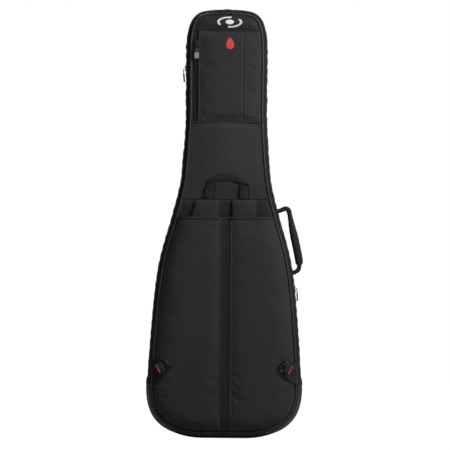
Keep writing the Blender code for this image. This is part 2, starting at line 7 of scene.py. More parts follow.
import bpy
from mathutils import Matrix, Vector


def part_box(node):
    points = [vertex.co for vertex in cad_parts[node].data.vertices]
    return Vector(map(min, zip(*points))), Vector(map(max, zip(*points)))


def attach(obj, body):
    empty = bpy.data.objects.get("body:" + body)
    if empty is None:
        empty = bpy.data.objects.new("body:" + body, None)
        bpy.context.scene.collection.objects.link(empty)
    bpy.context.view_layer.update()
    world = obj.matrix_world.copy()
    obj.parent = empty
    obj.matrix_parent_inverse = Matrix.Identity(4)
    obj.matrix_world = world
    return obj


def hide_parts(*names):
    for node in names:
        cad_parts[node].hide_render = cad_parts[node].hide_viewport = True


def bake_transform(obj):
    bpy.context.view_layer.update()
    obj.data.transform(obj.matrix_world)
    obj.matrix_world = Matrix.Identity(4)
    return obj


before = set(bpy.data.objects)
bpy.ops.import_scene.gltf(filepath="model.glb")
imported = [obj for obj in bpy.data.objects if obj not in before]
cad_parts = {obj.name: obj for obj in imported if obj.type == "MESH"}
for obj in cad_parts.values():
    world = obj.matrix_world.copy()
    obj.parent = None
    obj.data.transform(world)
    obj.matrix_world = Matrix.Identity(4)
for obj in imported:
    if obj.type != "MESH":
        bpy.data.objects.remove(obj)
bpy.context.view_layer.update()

import math

import bmesh
import bpy
import numpy as np
from mathutils import Quaternion, Vector, noise

MM = 0.001
PI = math.pi
INF = math.inf
REARWARD = (0, -1, 0)
FORWARD = (0, 1, 0)
SIDES = (("left", -1), ("right", 1))  # tag and sign of x
scene = bpy.context.scene

REAR, FRONT = -54.0, 50.0   # y of the two main panels
PANEL_INSET = 15.7          # main panels, inside the widest line
POCKET_INSET = 16.2         # pockets, inside the widest line
FOLD_LOW, FOLD_HIGH = 133.0, 137.0  # the bottom stays closed below, the zipper starts above

# =====================================================================================
# numbers and lines
# =====================================================================================


def ease(start, end, value):
    """Smooth ramp from 0 at start to 1 at end; end below start gives a falling ramp."""
    share = np.clip((np.asarray(value, float) - start) / (end - start), 0, 1)
    return share * share * (3 - 2 * share)


def bell(offset, width):
    return np.exp(-(offset / width) ** 2)


def fbm(x, y, z, scale, octaves=3):
    """Layered noise; x, y, z in metres."""
    total, weight, amplitude = 0.0, 0.0, 1.0
    for k in range(octaves):
        spot = (x * scale + 11.3 * k, y * scale - 4.1 * k, z * scale + 7.7 * k)
        total += amplitude * noise.noise(Vector(spot))
        weight += amplitude
        amplitude *= 0.5
        scale *= 2.03
    return total / weight


def uneven(X, Z, seed, scale):
    """Layered noise over a grid given in millimetres."""
    values = [fbm(x * MM, z * MM, seed, scale) for x, z in zip(X.ravel(), Z.ravel())]
    return np.array(values).reshape(X.shape)


def chaikin(points, rounds=2, closed=True, ratio=0.25):
    """Round a line by cutting its corners."""
    points = np.array(points, float)
    for _ in range(rounds):
        after = np.roll(points, -1, axis=0)
        near = points * (1 - ratio) + after * ratio
        far = points * ratio + after * (1 - ratio)
        cut = np.stack([near, far], axis=1).reshape(-1, points.shape[1])
        if not closed:
            cut = np.concatenate([points[:1], cut[:-2], points[-1:]])
        points = cut
    return points


def relax(values, rounds):
    """Smooth a row in place, ends held."""
    for _ in range(rounds):
        values[1:-1] = 0.25 * values[:-2] + 0.5 * values[1:-1] + 0.25 * values[2:]


def run_length(points):
    steps = np.linalg.norm(np.diff(points, axis=0), axis=1)
    return np.concatenate([[0], np.cumsum(steps)])


def resample(points, count):
    """count + 1 points evenly spaced along a line."""
    points = np.array(points, float)
    run = run_length(points)
    places = np.linspace(0, run[-1], count + 1)
    return np.stack([np.interp(places, run, column) for column in points.T], axis=1)


def line_of(x, y, z):
    """3D line from coordinates that may each be a row or a single number."""
    return np.stack(np.broadcast_arrays(x, y, z), axis=-1).astype(float)


def trace(pad, rows, columns, lift):
    """Line over an (X, Y, Z) grid, moved by lift along y."""
    X, Y, Z = (part[rows, columns] for part in pad)
    return line_of(X, Y + lift, Z)


def box_mm(node):
    """x0, x1, y0, y1, z0, z1 of a CAD piece in millimetres."""
    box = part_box(node)
    low, high = box[0], box[1]
    return low.x / MM, high.x / MM, low.y / MM, high.y / MM, low.z / MM, high.z / MM


# =====================================================================================
# meshes
# =====================================================================================


def link(obj):
    scene.collection.objects.link(obj)
    return obj


def box_uv(bm):
    layer = bm.loops.layers.uv.verify()
    for face in bm.faces:
        normal = face.normal
        axis = max(range(3), key=lambda i: abs(normal[i]))
        for loop in face.loops:
            x, y, z = loop.vert.co
            loop[layer].uv = ((y, z), (x, z), (x, y))[axis]


def make(name, bm, material, body="shell", replaces=(), smooth=45):
    """Finish a bmesh as an object; edges sharper than smooth degrees stay hard."""
    bmesh.ops.recalc_face_normals(bm, faces=bm.faces)
    bm.normal_update()
    if not bm.loops.layers.uv:
        box_uv(bm)
    for face in bm.faces:
        face.smooth = True
    for edge in bm.edges:
        if len(edge.link_faces) == 2 and edge.calc_face_angle(0) > math.radians(smooth):
            edge.smooth = False
    mesh = bpy.data.meshes.new(name)
    bm.to_mesh(mesh)
    bm.free()
    mesh.materials.append(material)
    obj = link(bpy.data.objects.new(name, mesh))
    if replaces:
        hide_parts(*replaces)
    if body:
        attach(obj, body)
    return obj


def skin(bm, rings, closed=False, run=None, around=None):
    """Join rings of points (mm) with quads and cap an open row of rings.

    run and around are the distances along and round the skin; given, they become its UVs.
    """
    mapped = run is not None
    layer = bm.loops.layers.uv.verify() if mapped else None
    rings = [[bm.verts.new(tuple(np.multiply(point, MM))) for point in ring] for ring in rings]
    count, size = len(rings), len(rings[0])
    for i in range(count if closed else count - 1):
        here, there = rings[i], rings[(i + 1) % count]
        for j in range(size):
            k = (j + 1) % size
            face = bm.faces.new((here[j], here[k], there[k], there[j]))
            if mapped:
                corners = ((i, j), (i, j + 1), (i + 1, j + 1), (i + 1, j))
                for loop, (u, v) in zip(face.loops, corners):
                    loop[layer].uv = (run[u] * MM, around[v] * MM)
    if not closed:
        bm.faces.new(rings[0])
        bm.faces.new(rings[-1])


def perimeter(profile):
    profile = np.array(profile, float)
    return run_length(np.concatenate([profile, profile[:1]]))


def slab_faces(rows, columns, turn=0):
    """Corner indices of a closed slab, outer grid first; turn rotates the inner quads."""
    size = rows * columns
    index = np.arange(size).reshape(rows, columns)
    faces = []
    for i in range(rows - 1):
        for j in range(columns - 1):
            a, b, c, d = index[i, j], index[i, j + 1], index[i + 1, j + 1], index[i + 1, j]
            inner = [corner + size for corner in (a, d, c, b)]
            faces += [[a, b, c, d], inner[turn:] + inner[:turn]]
    border = np.concatenate([index[0], index[1:, -1], index[-1, -2::-1], index[-2:0:-1, 0]])
    faces += [[a, a + size, b + size, b] for a, b in zip(border, np.roll(border, -1))]
    return np.array(faces).tolist()


def slab(outer, inner, uv_of):
    """Closed bmesh between two grids of points (mm); uv_of maps x, y, z to a UV."""
    bm = bmesh.new()
    layer = bm.loops.layers.uv.verify()
    points = np.concatenate([outer.reshape(-1, 3), inner.reshape(-1, 3)])
    verts = [bm.verts.new(tuple(point * MM)) for point in points]
    for corners in slab_faces(*outer.shape[:2]):
        face = bm.faces.new([verts[k] for k in corners])
        for loop in face.loops:
            loop[layer].uv = uv_of(*loop.vert.co)
    return bm


def sheet(name, X, Y, Z, inner, material, body="shell", replaces=()):
    """Padded sheet with its outer face at Y and its inner face at y = inner."""
    outer = np.stack([X, Y, Z], -1)
    back = np.stack([X, np.broadcast_to(inner, X.shape), Z], -1)
    bm = slab(outer, back, lambda x, y, z: (x, z + 0.3 * y))
    return make(name, bm, material, body, replaces, smooth=55)


def frames_along(path, outward):
    """Side and up vectors along a 3D line, up kept close to outward."""
    tangent = np.gradient(path, axis=0)
    tangent /= np.linalg.norm(tangent, axis=1)[:, None] + 1e-12
    up = np.broadcast_to(np.array(outward, float), path.shape)
    up = up - (up * tangent).sum(1)[:, None] * tangent
    up /= np.linalg.norm(up, axis=1)[:, None] + 1e-12
    return np.cross(tangent, up), up


def add_tube(bm, path, profile, outward=REARWARD, closed=False):
    """Carry a (side, up) profile, or a function of index and share, along a line (mm)."""
    path = np.array(path, float)
    if closed:
        looped = np.concatenate([path[-1:], path, path[:1]])
        side, up = (part[1:-1] for part in frames_along(looped, outward))
    else:
        side, up = frames_along(path, outward)
    run = run_length(path)
    profiles, rings = [], []
    for i, point in enumerate(path):
        shape = profile(i, run[i] / run[-1]) if callable(profile) else profile
        profiles.append(shape)
        rings.append([point + side[i] * a + up[i] * b for a, b in shape])
    around = perimeter(profiles[len(profiles) // 2])
    skin(bm, rings, closed, np.append(run, run[-1] + 3), around)


def tube(name, path, profile, material, body="shell", replaces=(),
         outward=REARWARD, smooth=50, closed=False):
    bm = bmesh.new()
    add_tube(bm, path, profile, outward, closed)
    return make(name, bm, material, body, replaces, smooth)


def circle(radius, count=12, centre=(0.0, 0.0)):
    angles = [2 * PI * k / count for k in range(count)]
    return [(centre[0] + radius * math.cos(a), centre[1] + radius * math.sin(a)) for a in angles]


def rounded(width, height, radius, segments=3):
    """Rounded rectangle profile, width along side and height along up."""
    radius = min(radius, width / 2 - 1e-3, height / 2 - 1e-3)
    across, tall = width / 2 - radius, height / 2 - radius
    profile = []
    for quarter, (x, y) in enumerate(((across, tall), (-across, tall), (-across, -tall),
                                      (across, -tall))):
        for k in range(segments + 1):
            angle = math.radians(90 * quarter + 90 * k / segments)
            profile.append((x + radius * math.cos(angle), y + radius * math.sin(angle)))
    return profile


def band(width, thickness):
    """Webbing profile: a flat band with softly rolled edges."""
    edge, half = width / 2, thickness / 2
    roll = thickness * 0.36
    right = [(edge - 0.5, half), (edge - 0.1, roll), (edge, 0), (edge - 0.1, -roll),
             (edge - 0.5, -half), (0, -half)]
    return right + [(-x, -y) for x, y in right]


def stitches(name, lines, body="shell", material=None, outward=REARWARD, pitch=4.2, length=2.9,
             radius=0.42):
    """Raised thread stitches along 3D lines (mm)."""
    stations = ((-0.5, 0.55, -0.35), (-0.28, 1, 0.45), (0.28, 1, 0.45), (0.5, 0.55, -0.35))
    sides = 5
    normal = np.array(outward, float)
    verts, faces = [], []
    for points in lines:
        points = np.array(points, float)
        run = run_length(points)
        count = max(1, int(run[-1] / pitch))
        for k in range(count):
            middle = (k + 0.5) * run[-1] / count
            # each station: offset in stitch lengths, share of the radius, lift in radii
            centres = []
            for offset, _, _ in stations:
                place = min(max(middle + offset * length, 0), run[-1])
                centres.append(np.array([np.interp(place, run, axis) for axis in points.T]))
            side = np.cross(centres[3] - centres[0], normal)
            side /= np.linalg.norm(side)
            first = len(verts)
            for centre, (_, share, lift) in zip(centres, stations):
                for a in range(sides):
                    angle = 2 * PI * a / sides
                    rise = lift * radius + math.cos(angle) * radius * share
                    sway = math.sin(angle) * radius * share
                    verts.append((centre + normal * rise + side * sway) * MM)
            for i in range(3):
                here, there = first + i * sides, first + (i + 1) * sides
                for a in range(sides):
                    b = (a + 1) % sides
                    faces.append((here + a, here + b, there + b, there + a))
            faces.append(tuple(first + a for a in range(sides)))
            faces.append(tuple(first + 3 * sides + a for a in reversed(range(sides))))
    mesh = bpy.data.meshes.new(name)
    mesh.from_pydata([tuple(v) for v in verts], [], faces)
    for polygon in mesh.polygons:
        polygon.use_smooth = True
    mesh.materials.append(material or STITCH)
    obj = link(bpy.data.objects.new(name, mesh))
    face_outward(mesh)
    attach(obj, body)


def face_outward(mesh):
    bm = bmesh.new()
    bm.from_mesh(mesh)
    bmesh.ops.recalc_face_normals(bm, faces=bm.faces)
    bm.to_mesh(mesh)
    bm.free()


# =====================================================================================
# materials
# =====================================================================================


class Shader:
    """A principled material and the node patterns that the materials share."""

    def __init__(self, name):
        self.material = bpy.data.materials.new(name)
        self.material.use_nodes = True
        self.tree = self.material.node_tree
        self.coordinates = self.add("ShaderNodeTexCoord").outputs

    def add(self, kind, **settings):
        node = self.tree.nodes.new(kind)
        for key, value in settings.items():
            setattr(node, key, value)
        return node

    def feed(self, socket, value):
        """Give a socket a number, a colour or a link."""
        if isinstance(value, (int, float)):
            socket.default_value = value
        elif isinstance(value, tuple):
            socket.default_value = (*value, 1.0)
        else:
            self.tree.links.new(value, socket)

    def finish(self, values):
        surface = self.tree.nodes["Principled BSDF"]
        for key, value in values.items():
            self.feed(surface.inputs[key], value)
        return self.material

    def math(self, operation, *values):
        node = self.add("ShaderNodeMath", operation=operation)
        for socket, value in zip(node.inputs, values):
            self.feed(socket, value)
        return node.outputs[0]

    def mix(self, share, first, second, kind="RGBA"):
        node = self.add("ShaderNodeMix", data_type=kind)
        sockets, output = {"FLOAT": ((0, 2, 3), 0), "RGBA": ((0, 6, 7), 2)}[kind]
        for k, value in zip(sockets, (share, first, second)):
            self.feed(node.inputs[k], value)
        return node.outputs[output]

    def split(self, vector):
        node = self.add("ShaderNodeSeparateXYZ")
        self.feed(node.inputs[0], vector)
        return node.outputs

    def noise(self, scale, detail=3.0, rough=0.55):
        node = self.add("ShaderNodeTexNoise")
        self.feed(node.inputs["Scale"], scale)
        self.feed(node.inputs["Detail"], detail)
        self.feed(node.inputs["Roughness"], rough)
        self.feed(node.inputs["Vector"], self.coordinates["Object"])
        return node.outputs["Fac"]

    def bump(self, height, strength, distance, normal=None):
        node = self.add("ShaderNodeBump")
        self.feed(node.inputs["Strength"], strength)
        self.feed(node.inputs["Distance"], distance)
        self.feed(node.inputs["Height"], height)
        if normal is not None:
            self.feed(node.inputs["Normal"], normal)
        return node.outputs["Normal"]

    def ramp(self, value, low, high, at_low=0.0, at_high=1.0):
        node = self.add("ShaderNodeMapRange", clamp=True)
        values = {"Value": value, "From Min": low, "From Max": high, "To Min": at_low,
                  "To Max": at_high}
        for key, number in values.items():
            self.feed(node.inputs[key], number)
        return node.outputs["Result"]

    def blend(self, first, share_of_first, second, rest=1.0):
        """Weighted sum of two values."""
        return self.math("ADD", self.math("MULTIPLY", first, share_of_first),
                         second if rest == 1.0 else self.math("MULTIPLY", second, rest))

    def arch(self, value):
        """Row of rounded humps, one per unit of value."""
        return self.math("ABSOLUTE", self.math("SINE", self.math("MULTIPLY", value, PI)))

    def worn(self, base, amount, color):
        """Lighten the raised edges."""
        pointiness = self.add("ShaderNodeNewGeometry").outputs["Pointiness"]
        edges = self.ramp(pointiness, low=0.50, high=0.62)
        return self.mix(self.math("MULTIPLY", edges, amount), base, color)


def scaled(color, factor, lift=0.0):
    return tuple(min(1.0, c * factor + lift) for c in color)


def weave_height(shader, uv, pitch):
    """Plain weave from metre-true UVs: warp over weft on alternating cells."""
    calc = shader.math
    warp = calc("DIVIDE", uv["X"], pitch[0])
    weft = calc("DIVIDE", uv["Y"], pitch[1])
    warp_hump, weft_hump = shader.arch(warp), shader.arch(weft)
    cell = calc("ADD", calc("FLOOR", warp), calc("FLOOR", weft))
    odd = calc("ABSOLUTE", calc("MODULO", cell, 2.0))
    warp_over = calc("MULTIPLY", warp_hump, calc("POWER", weft_hump, 0.35))
    weft_over = calc("MULTIPLY", weft_hump, calc("POWER", warp_hump, 0.35))
    return shader.mix(odd, warp_over, weft_over, kind="FLOAT")


def fabric(name, color, pitch=(0.00105, 0.00105), rough=0.8, bump=0.5, mottle=0.16, sheen=0.15,
           wear=0.25, crinkle=0.25, lint=0.05, ripstop=0.0, specular=0.22):
    """Woven cloth; pitch and ripstop (grid spacing) in metres."""
    shader = Shader(name)
    calc, ramp = shader.math, shader.ramp
    uv = shader.split(shader.coordinates["UV"])
    height = weave_height(shader, uv, pitch)
    if ripstop:
        for axis in ("X", "Y"):
            cell = calc("FRACT", calc("DIVIDE", uv[axis], ripstop))
            off_line = calc("ABSOLUTE", calc("SUBTRACT", cell, 0.5))
            line = ramp(off_line, low=0.0, high=0.09, at_low=0.8, at_high=0.0)
            height = calc("ADD", height, line)
    fine = shader.noise(scale=1400.0, detail=2.0)
    medium = shader.noise(scale=55.0, detail=4.0)
    broad = shader.noise(scale=7.0, detail=3.0)
    creases = shader.noise(scale=150.0, detail=5.0, rough=0.62)
    normal = shader.bump(medium, strength=crinkle, distance=0.0012)
    normal = shader.bump(creases, strength=crinkle * 0.8, distance=0.0004, normal=normal)
    threads = calc("ADD", height, calc("MULTIPLY", fine, 0.45))
    normal = shader.bump(threads, strength=bump, distance=0.00028, normal=normal)
    patches = ramp(shader.blend(broad, 0.6, medium, rest=0.4), low=0.3, high=0.7)
    base = shader.mix(patches, scaled(color, 1 - mottle), scaled(color, 1 + mottle))
    # gaps between the threads darkened: painted shade in the weave's hollows
    gaps = ramp(height, low=0.0, high=0.7, at_low=0.32, at_high=0.0)
    base = shader.mix(gaps, base, scaled(color, 0.4))
    base = shader.worn(base, wear, scaled(color, 1.9, lift=0.012))
    if lint:
        specks = ramp(shader.noise(scale=620.0, detail=1.0), low=0.70, high=0.78)
        base = shader.mix(calc("MULTIPLY", specks, lint), base, (0.30, 0.30, 0.31))
    return shader.finish({
        "Normal": normal,
        "Base Color": base,
        "Roughness": ramp(medium, low=0.25, high=0.75, at_low=rough - 0.07, at_high=rough + 0.07),
        "Sheen Weight": sheen,
        "Sheen Roughness": 0.45,
        "Sheen Tint": (0.75, 0.78, 0.82),
        "Specular IOR Level": specular})


def webbing(name, color, rough):
    """Woven band with slanting ribs in narrow lengthwise channels."""
    shader = Shader(name)
    calc, ramp = shader.math, shader.ramp
    uv = shader.split(shader.coordinates["UV"])
    channel = calc("DIVIDE", uv["Y"], 0.0022)
    slant = calc("PINGPONG", channel, 1.0)
    ribs = shader.arch(calc("ADD", calc("DIVIDE", uv["X"], 0.0019), slant))
    channels = shader.arch(channel)
    height = calc("MULTIPLY", calc("POWER", ribs, 0.6), calc("POWER", channels, 0.3))
    fine = shader.noise(scale=1800.0, detail=2.0)
    medium = shader.noise(scale=70.0, detail=4.0)
    normal = shader.bump(medium, strength=0.25, distance=0.0008)
    threads = calc("ADD", height, calc("MULTIPLY", fine, 0.35))
    normal = shader.bump(threads, strength=0.8, distance=0.00035, normal=normal)
    base = shader.mix(ramp(medium, low=0.3, high=0.7), scaled(color, 0.85), scaled(color, 1.15))
    # hollows between ribs and channels darkened: painted shade
    gaps = ramp(height, low=0.0, high=0.6, at_low=0.45, at_high=0.0)
    base = shader.mix(gaps, base, scaled(color, 0.3))
    return shader.finish({
        "Normal": normal,
        "Base Color": shader.worn(base, 0.3, scaled(color, 2.2, lift=0.01)),
        "Roughness": ramp(fine, low=0.2, high=0.8, at_low=rough - 0.08, at_high=rough + 0.1),
        "Sheen Weight": 0.1})


def moulded(name, color, rough=0.45, grain=700.0, depth=0.00012, wear=0.35, metal=0.0, bump=0.4,
            coat=0.0):
    """Grained and lightly scratched plastic, rubber or enamel."""
    shader = Shader(name)
    calc, ramp = shader.math, shader.ramp
    grains = shader.noise(scale=grain, detail=3.0, rough=0.6)
    medium = shader.noise(scale=45.0, detail=4.0)
    scratches = shader.noise(scale=260.0, detail=2.0, rough=0.7)
    normal = shader.bump(medium, strength=0.15, distance=0.0006)
    base = shader.mix(ramp(medium, low=0.3, high=0.7), scaled(color, 0.88), scaled(color, 1.12))
    base = shader.worn(base, wear, scaled(color, 2.2, lift=0.03))
    marks = calc("MULTIPLY", ramp(scratches, low=0.62, high=0.72), 0.10)
    return shader.finish({
        "Normal": shader.bump(grains, strength=bump, distance=depth, normal=normal),
        "Base Color": shader.mix(marks, base, scaled(color, 2.0, lift=0.03)),
        "Roughness": ramp(shader.blend(medium, 0.6, scratches, rest=0.4), low=0.3, high=0.7,
                          at_low=rough - 0.08, at_high=rough + 0.12),
        "Metallic": metal,
        "Coat Weight": coat,
        "Coat Roughness": 0.25})


def plush(name, color):
    """Short pile."""
    shader = Shader(name)
    ramp = shader.ramp
    fibres = shader.noise(scale=900.0, detail=4.0, rough=0.7)
    medium = shader.noise(scale=28.0, detail=5.0, rough=0.6)
    normal = shader.bump(medium, strength=0.35, distance=0.0015)
    base = shader.mix(ramp(medium, low=0.3, high=0.7), scaled(color, 0.72), scaled(color, 1.25))
    # gaps between fibres darkened: painted shade in the pile
    gaps = ramp(fibres, low=0.35, high=0.65, at_low=0.35, at_high=0.0)
    return shader.finish({
        "Normal": shader.bump(fibres, strength=0.7, distance=0.0005, normal=normal),
        "Base Color": shader.mix(gaps, base, scaled(color, 0.5)),
        "Roughness": ramp(fibres, low=0.3, high=0.7, at_low=0.9, at_high=1.0),
        "Sheen Weight": 0.6,
        "Sheen Roughness": 0.5})


def thread(name, color):
    """Twisted sewing thread."""
    shader = Shader(name)
    calc, ramp = shader.math, shader.ramp
    place = shader.split(shader.coordinates["Object"])
    slanted = shader.blend(place["X"], 0.45, place["Z"])
    twist = shader.arch(calc("DIVIDE", slanted, 0.0011))
    fine = shader.noise(scale=1500.0, detail=2.0)
    relief = calc("ADD", twist, calc("MULTIPLY", fine, 0.3))
    # grooves of the twist darkened: painted shade
    gaps = ramp(twist, low=0.0, high=0.6, at_low=0.4, at_high=0.0)
    base = shader.mix(gaps, color, scaled(color, 0.5))
    spots = ramp(fine, low=0.4, high=0.6, at_low=0.0, at_high=0.25)
    return shader.finish({
        "Normal": shader.bump(relief, strength=0.6, distance=0.0002),
        "Base Color": shader.mix(spots, base, scaled(color, 0.8)),
        "Roughness": ramp(fine, low=0.3, high=0.7, at_low=0.45, at_high=0.62),
        "Sheen Weight": 0.25})


NYLON = fabric("nylon_weave", (0.0245, 0.0250, 0.0268), sheen=0.05)
# lighter copy of the nylon for the back panel: painted light for its brightly lit neck
LIT_BACK_NYLON = fabric("nylon_weave_back_painted_light", (0.0272, 0.0277, 0.0297), sheen=0.05)
DARK_NYLON = fabric("nylon_weave_dark", (0.0150, 0.0153, 0.0163), mottle=0.2, crinkle=0.45,
                    sheen=0.03)
# darker copy of the same nylon for the side walls and bottom wall: painted shade for walls turned
# away from the light
SHADED_WALL_NYLON = fabric("nylon_weave_gusset_painted_shade", (0.0138, 0.0141, 0.0150), mottle=0.25, crinkle=0.6,
                sheen=0.0, specular=0.15)
# darker copy of the nylon for the head cap: painted shade for the dimmer top of the bag
SHADED_CAP_NYLON = fabric("nylon_weave_cap_painted_shade", (0.0200, 0.0204, 0.0218), sheen=0.04)
HEM_NYLON = fabric("nylon_weave_hem", (0.0200, 0.0204, 0.0218), sheen=0.05)
RIPSTOP = fabric("ripstop_panel", (0.0125, 0.0130, 0.0140), pitch=(0.0006, 0.0006), rough=0.72,
                 ripstop=0.006, crinkle=0.35, sheen=0.03)
PIPING = fabric("piping_cover", (0.0260, 0.0265, 0.0285), pitch=(0.0007, 0.0007), rough=0.42,
                bump=0.3, sheen=0.03, wear=0.6)
TAPE = fabric("zip_tape_weave", (0.0070, 0.0070, 0.0078), pitch=(0.0006, 0.0009), rough=0.7,
              lint=0.02, sheen=0.02)
BINDING = fabric("binding_tape", (0.0150, 0.0155, 0.0165), pitch=(0.0008, 0.0006), rough=0.62,
                 bump=0.6, wear=0.4, sheen=0.03)
STRAP_FACE = fabric("strap_face", (0.0240, 0.0245, 0.0262), pitch=(0.0012, 0.0012), rough=0.85,
                    bump=0.7, crinkle=0.4, sheen=0.05)
RAIN_NYLON = fabric("rain_nylon", (0.50, 0.030, 0.040), pitch=(0.0005, 0.0005), rough=0.45,
                    ripstop=0.005, lint=0)
WEBBING = webbing("webbing_black", (0.0062, 0.0063, 0.0070), rough=0.82)
DARK_WEBBING = webbing("webbing_dark", (0.0030, 0.0031, 0.0035), rough=0.92)
PLUSH = plush("plush_lining", (0.060, 0.062, 0.067))
FOAM_PLUSH = plush("plush_foam", (0.042, 0.044, 0.048))
RUBBER = moulded("scuff_rubber", (0.0098, 0.0101, 0.0110), rough=0.55, grain=420.0,
                 depth=0.00025, wear=0.5, bump=0.5)
COIL = moulded("zip_coil", (0.0100, 0.0100, 0.0110), rough=0.36, grain=1500.0, wear=0.2)
SLIDER = moulded("slider_enamel", (0.030, 0.030, 0.033), rough=0.30, grain=900.0, depth=0.00008,
                 wear=0.6, metal=0.9, coat=0.3)
RING_METAL = moulded("ring_black_nickel", (0.024, 0.024, 0.026), rough=0.24, grain=900.0,
                     depth=0.00005, wear=0.5, metal=1.0, coat=0.15)
ACETAL = moulded("acetal_black", (0.014, 0.014, 0.016), rough=0.38, grain=650.0, wear=0.3)
GREY_GRIP = moulded("pull_grip_grey", (0.22, 0.225, 0.235), rough=0.5, grain=500.0, wear=0.2)
BLACK_GRIP = moulded("pull_body_black", (0.014, 0.014, 0.016), rough=0.5, grain=500.0, wear=0.3)
RED = thread("thread_red", (0.60, 0.030, 0.042))
WHITE = thread("thread_white", (0.80, 0.80, 0.79))
STITCH = thread("thread_black", (0.028, 0.0285, 0.031))

# =====================================================================================
# the bag's outline
# =====================================================================================
# right half of the widest line, bottom to top: x, z
OUTLINE_POINTS = [
    (50, 2.7), (75, 4.2), (99, 8.5), (124, 16.5), (144, 26), (162, 40), (176, 58.5), (185, 81),
    (189.3, 106), (190.5, 135), (189.5, 165), (187, 205), (184, 250), (180.5, 295), (177, 335),
    (173.3, 370), (168.8, 405), (163, 438), (157, 465), (150.3, 490), (143, 515), (135.5, 540),
    (128.5, 566), (122, 590), (116, 616), (111.5, 642), (107.5, 685), (104, 730), (101.5, 775),
    (100.5, 820), (101, 880), (101.5, 935), (100.3, 980), (97, 1006), (91, 1027), (82, 1042),
    (69, 1052), (52, 1057.2), (30, 1059.6), (0, 1060)]


def catmull(points, steps):
    """Smooth curve through points that ends square to the mirror line x = 0."""
    points = np.array(points, float)
    padded = np.concatenate([points[:1], points, points[-2:-1] * (-1, 1)])
    curve = []
    for i in range(1, len(padded) - 2):
        before, start, end, after = padded[i - 1:i + 3]
        for k in range(steps):
            t = k / steps
            curve.append(0.5 * ((2 * start) + (end - before) * t
                                + (2 * before - 5 * start + 4 * end - after) * t * t
                                + (3 * start - before - 3 * end + after) * t ** 3))
    return np.array(curve + [points[-1]])


def outline_stations(step=3.4):
    """Rows of x, z, outward normal x and z, and distance along the right half outline."""
    base_z = OUTLINE_POINTS[0][1]
    curve = np.concatenate([[(0.0, base_z), (25.0, base_z)], catmull(OUTLINE_POINTS, steps=16)])
    relax(curve, 6)
    points = resample(curve, int(round(run_length(curve)[-1] / step)))
    tangent = np.gradient(points, axis=0)
    tangent /= np.linalg.norm(tangent, axis=1)[:, None]
    normal = np.stack([tangent[:, 1], -tangent[:, 0]], axis=1)
    normal[0] = (0, -1)
    normal[-1] = (0, 1)
    return np.column_stack([points, normal, run_length(points)])


OUTLINE = outline_stations()
FLIP = np.array([-1, 1, -1, 1, -1])  # turns right stations into left ones


def clip_line(points, low=-INF, high=INF, x_min=-INF, gap=0.5):
    """Part of a line between two heights and beyond x_min; points closer than gap are dropped."""
    def inside(point, slack=0.0):
        return low - slack <= point[1] <= high + slack and point[0] >= x_min - slack

    kept = [points[0]] if inside(points[0]) else []
    for start, end in zip(points, points[1:]):
        for axis, level in ((1, low), (1, high), (0, x_min)):
            if (start[axis] < level) != (end[axis] < level):
                share = (level - start[axis]) / (end[axis] - start[axis])
                crossing = start + (end - start) * share
                if inside(crossing, 1e-6):
                    kept.append(crossing)
        if inside(end):
            kept.append(end)
    spaced = [kept[0]]
    for point in kept[1:]:
        if math.hypot(*(point - spaced[-1])[:2]) > gap:
            spaced.append(point)
    return np.array(spaced)


def mirrored(stations):
    """Left half, its distances running on from the right half."""
    return stations[::-1] * FLIP + [0, 0, 0, 0, 2 * OUTLINE[-1, 4]]


def ring_path():
    return np.concatenate([OUTLINE, mirrored(OUTLINE)[1:-1]]), True


def upper_path(z=FOLD_HIGH):
    """Up the right side, over the head and down the left side, from height z."""
    right = clip_line(OUTLINE, low=z)
    return np.concatenate([right, mirrored(right)[1:]]), False


def lower_path():
    """Round the closed bottom, left to right."""
    right = clip_line(OUTLINE, high=FOLD_LOW)
    return np.concatenate([(right[::-1] * FLIP)[:-1], right]), False


def half_width(z):
    return np.interp(z, OUTLINE[8:, 1], OUTLINE[8:, 0])


def inset_line(stations, depth):
    return stations[:, :2] - stations[:, 2:4] * depth


def inset_of(X, Z):
    """Distance (mm) from each grid point to the outline."""
    x, z = np.abs(X), Z
    nearest = np.full(X.shape, 1e9)
    for (x0, z0), (x1, z1) in zip(OUTLINE[:-1, :2], OUTLINE[1:, :2]):
        run, rise = x1 - x0, z1 - z0
        share = np.clip(((x - x0) * run + (z - z0) * rise) / (run ** 2 + rise ** 2), 0, 1)
        nearest = np.minimum(nearest, np.hypot(x - x0 - share * run, z - z0 - share * rise))
    return nearest


def sweep_outline(name, path, profile, material, body="shell", wave=None, replaces=()):
    """Carry a closed profile of (inset, y) along the outline.

    wave(along, inset, y, x, z) returns a move outward and a move along y.
    """
    stations, closed = path
    rings = []
    for x, z, out_x, out_z, along in stations:
        ring = []
        for inset, y in profile:
            push, slide = wave(along, inset, y, x, z) if wave else (0.0, 0.0)
            depth = inset - push
            ring.append((x - out_x * depth, y + slide, z - out_z * depth))
        rings.append(ring)
    bm = bmesh.new()
    run = np.append(stations[:, 4], stations[-1, 4] + 6.0)
    skin(bm, rings, closed, run, perimeter(profile))
    return make(name, bm, material, body, replaces, smooth=50)


# =====================================================================================
# patches: four-sided sheets in the XZ plane
# =====================================================================================


def coons(bottom, right, top, left):
    """X and Z grids between four sides, which run left to right or bottom to top."""
    u = np.linspace(0, 1, len(bottom))[None, :, None]
    v = np.linspace(0, 1, len(left))[:, None, None]
    corners = ((1 - u) * (1 - v) * bottom[0] + u * (1 - v) * bottom[-1]
               + (1 - u) * v * top[0] + u * v * top[-1])
    grid = ((1 - v) * bottom[None] + v * top[None] + (1 - u) * left[:, None]
            + u * right[:, None] - corners)
    return grid[..., 0], grid[..., 1]


def edge_distance(X, Z):
    """Distance (mm) from each grid point to the patch border."""
    grid = np.stack([X, Z], -1)
    border = np.concatenate([grid[0], grid[:, -1], grid[-1][::-1], grid[:, 0][::-1]])
    border = resample(border, 600)
    gaps = np.linalg.norm(grid.reshape(-1, 1, 2) - border[None], axis=2)
    return gaps.min(1).reshape(X.shape)


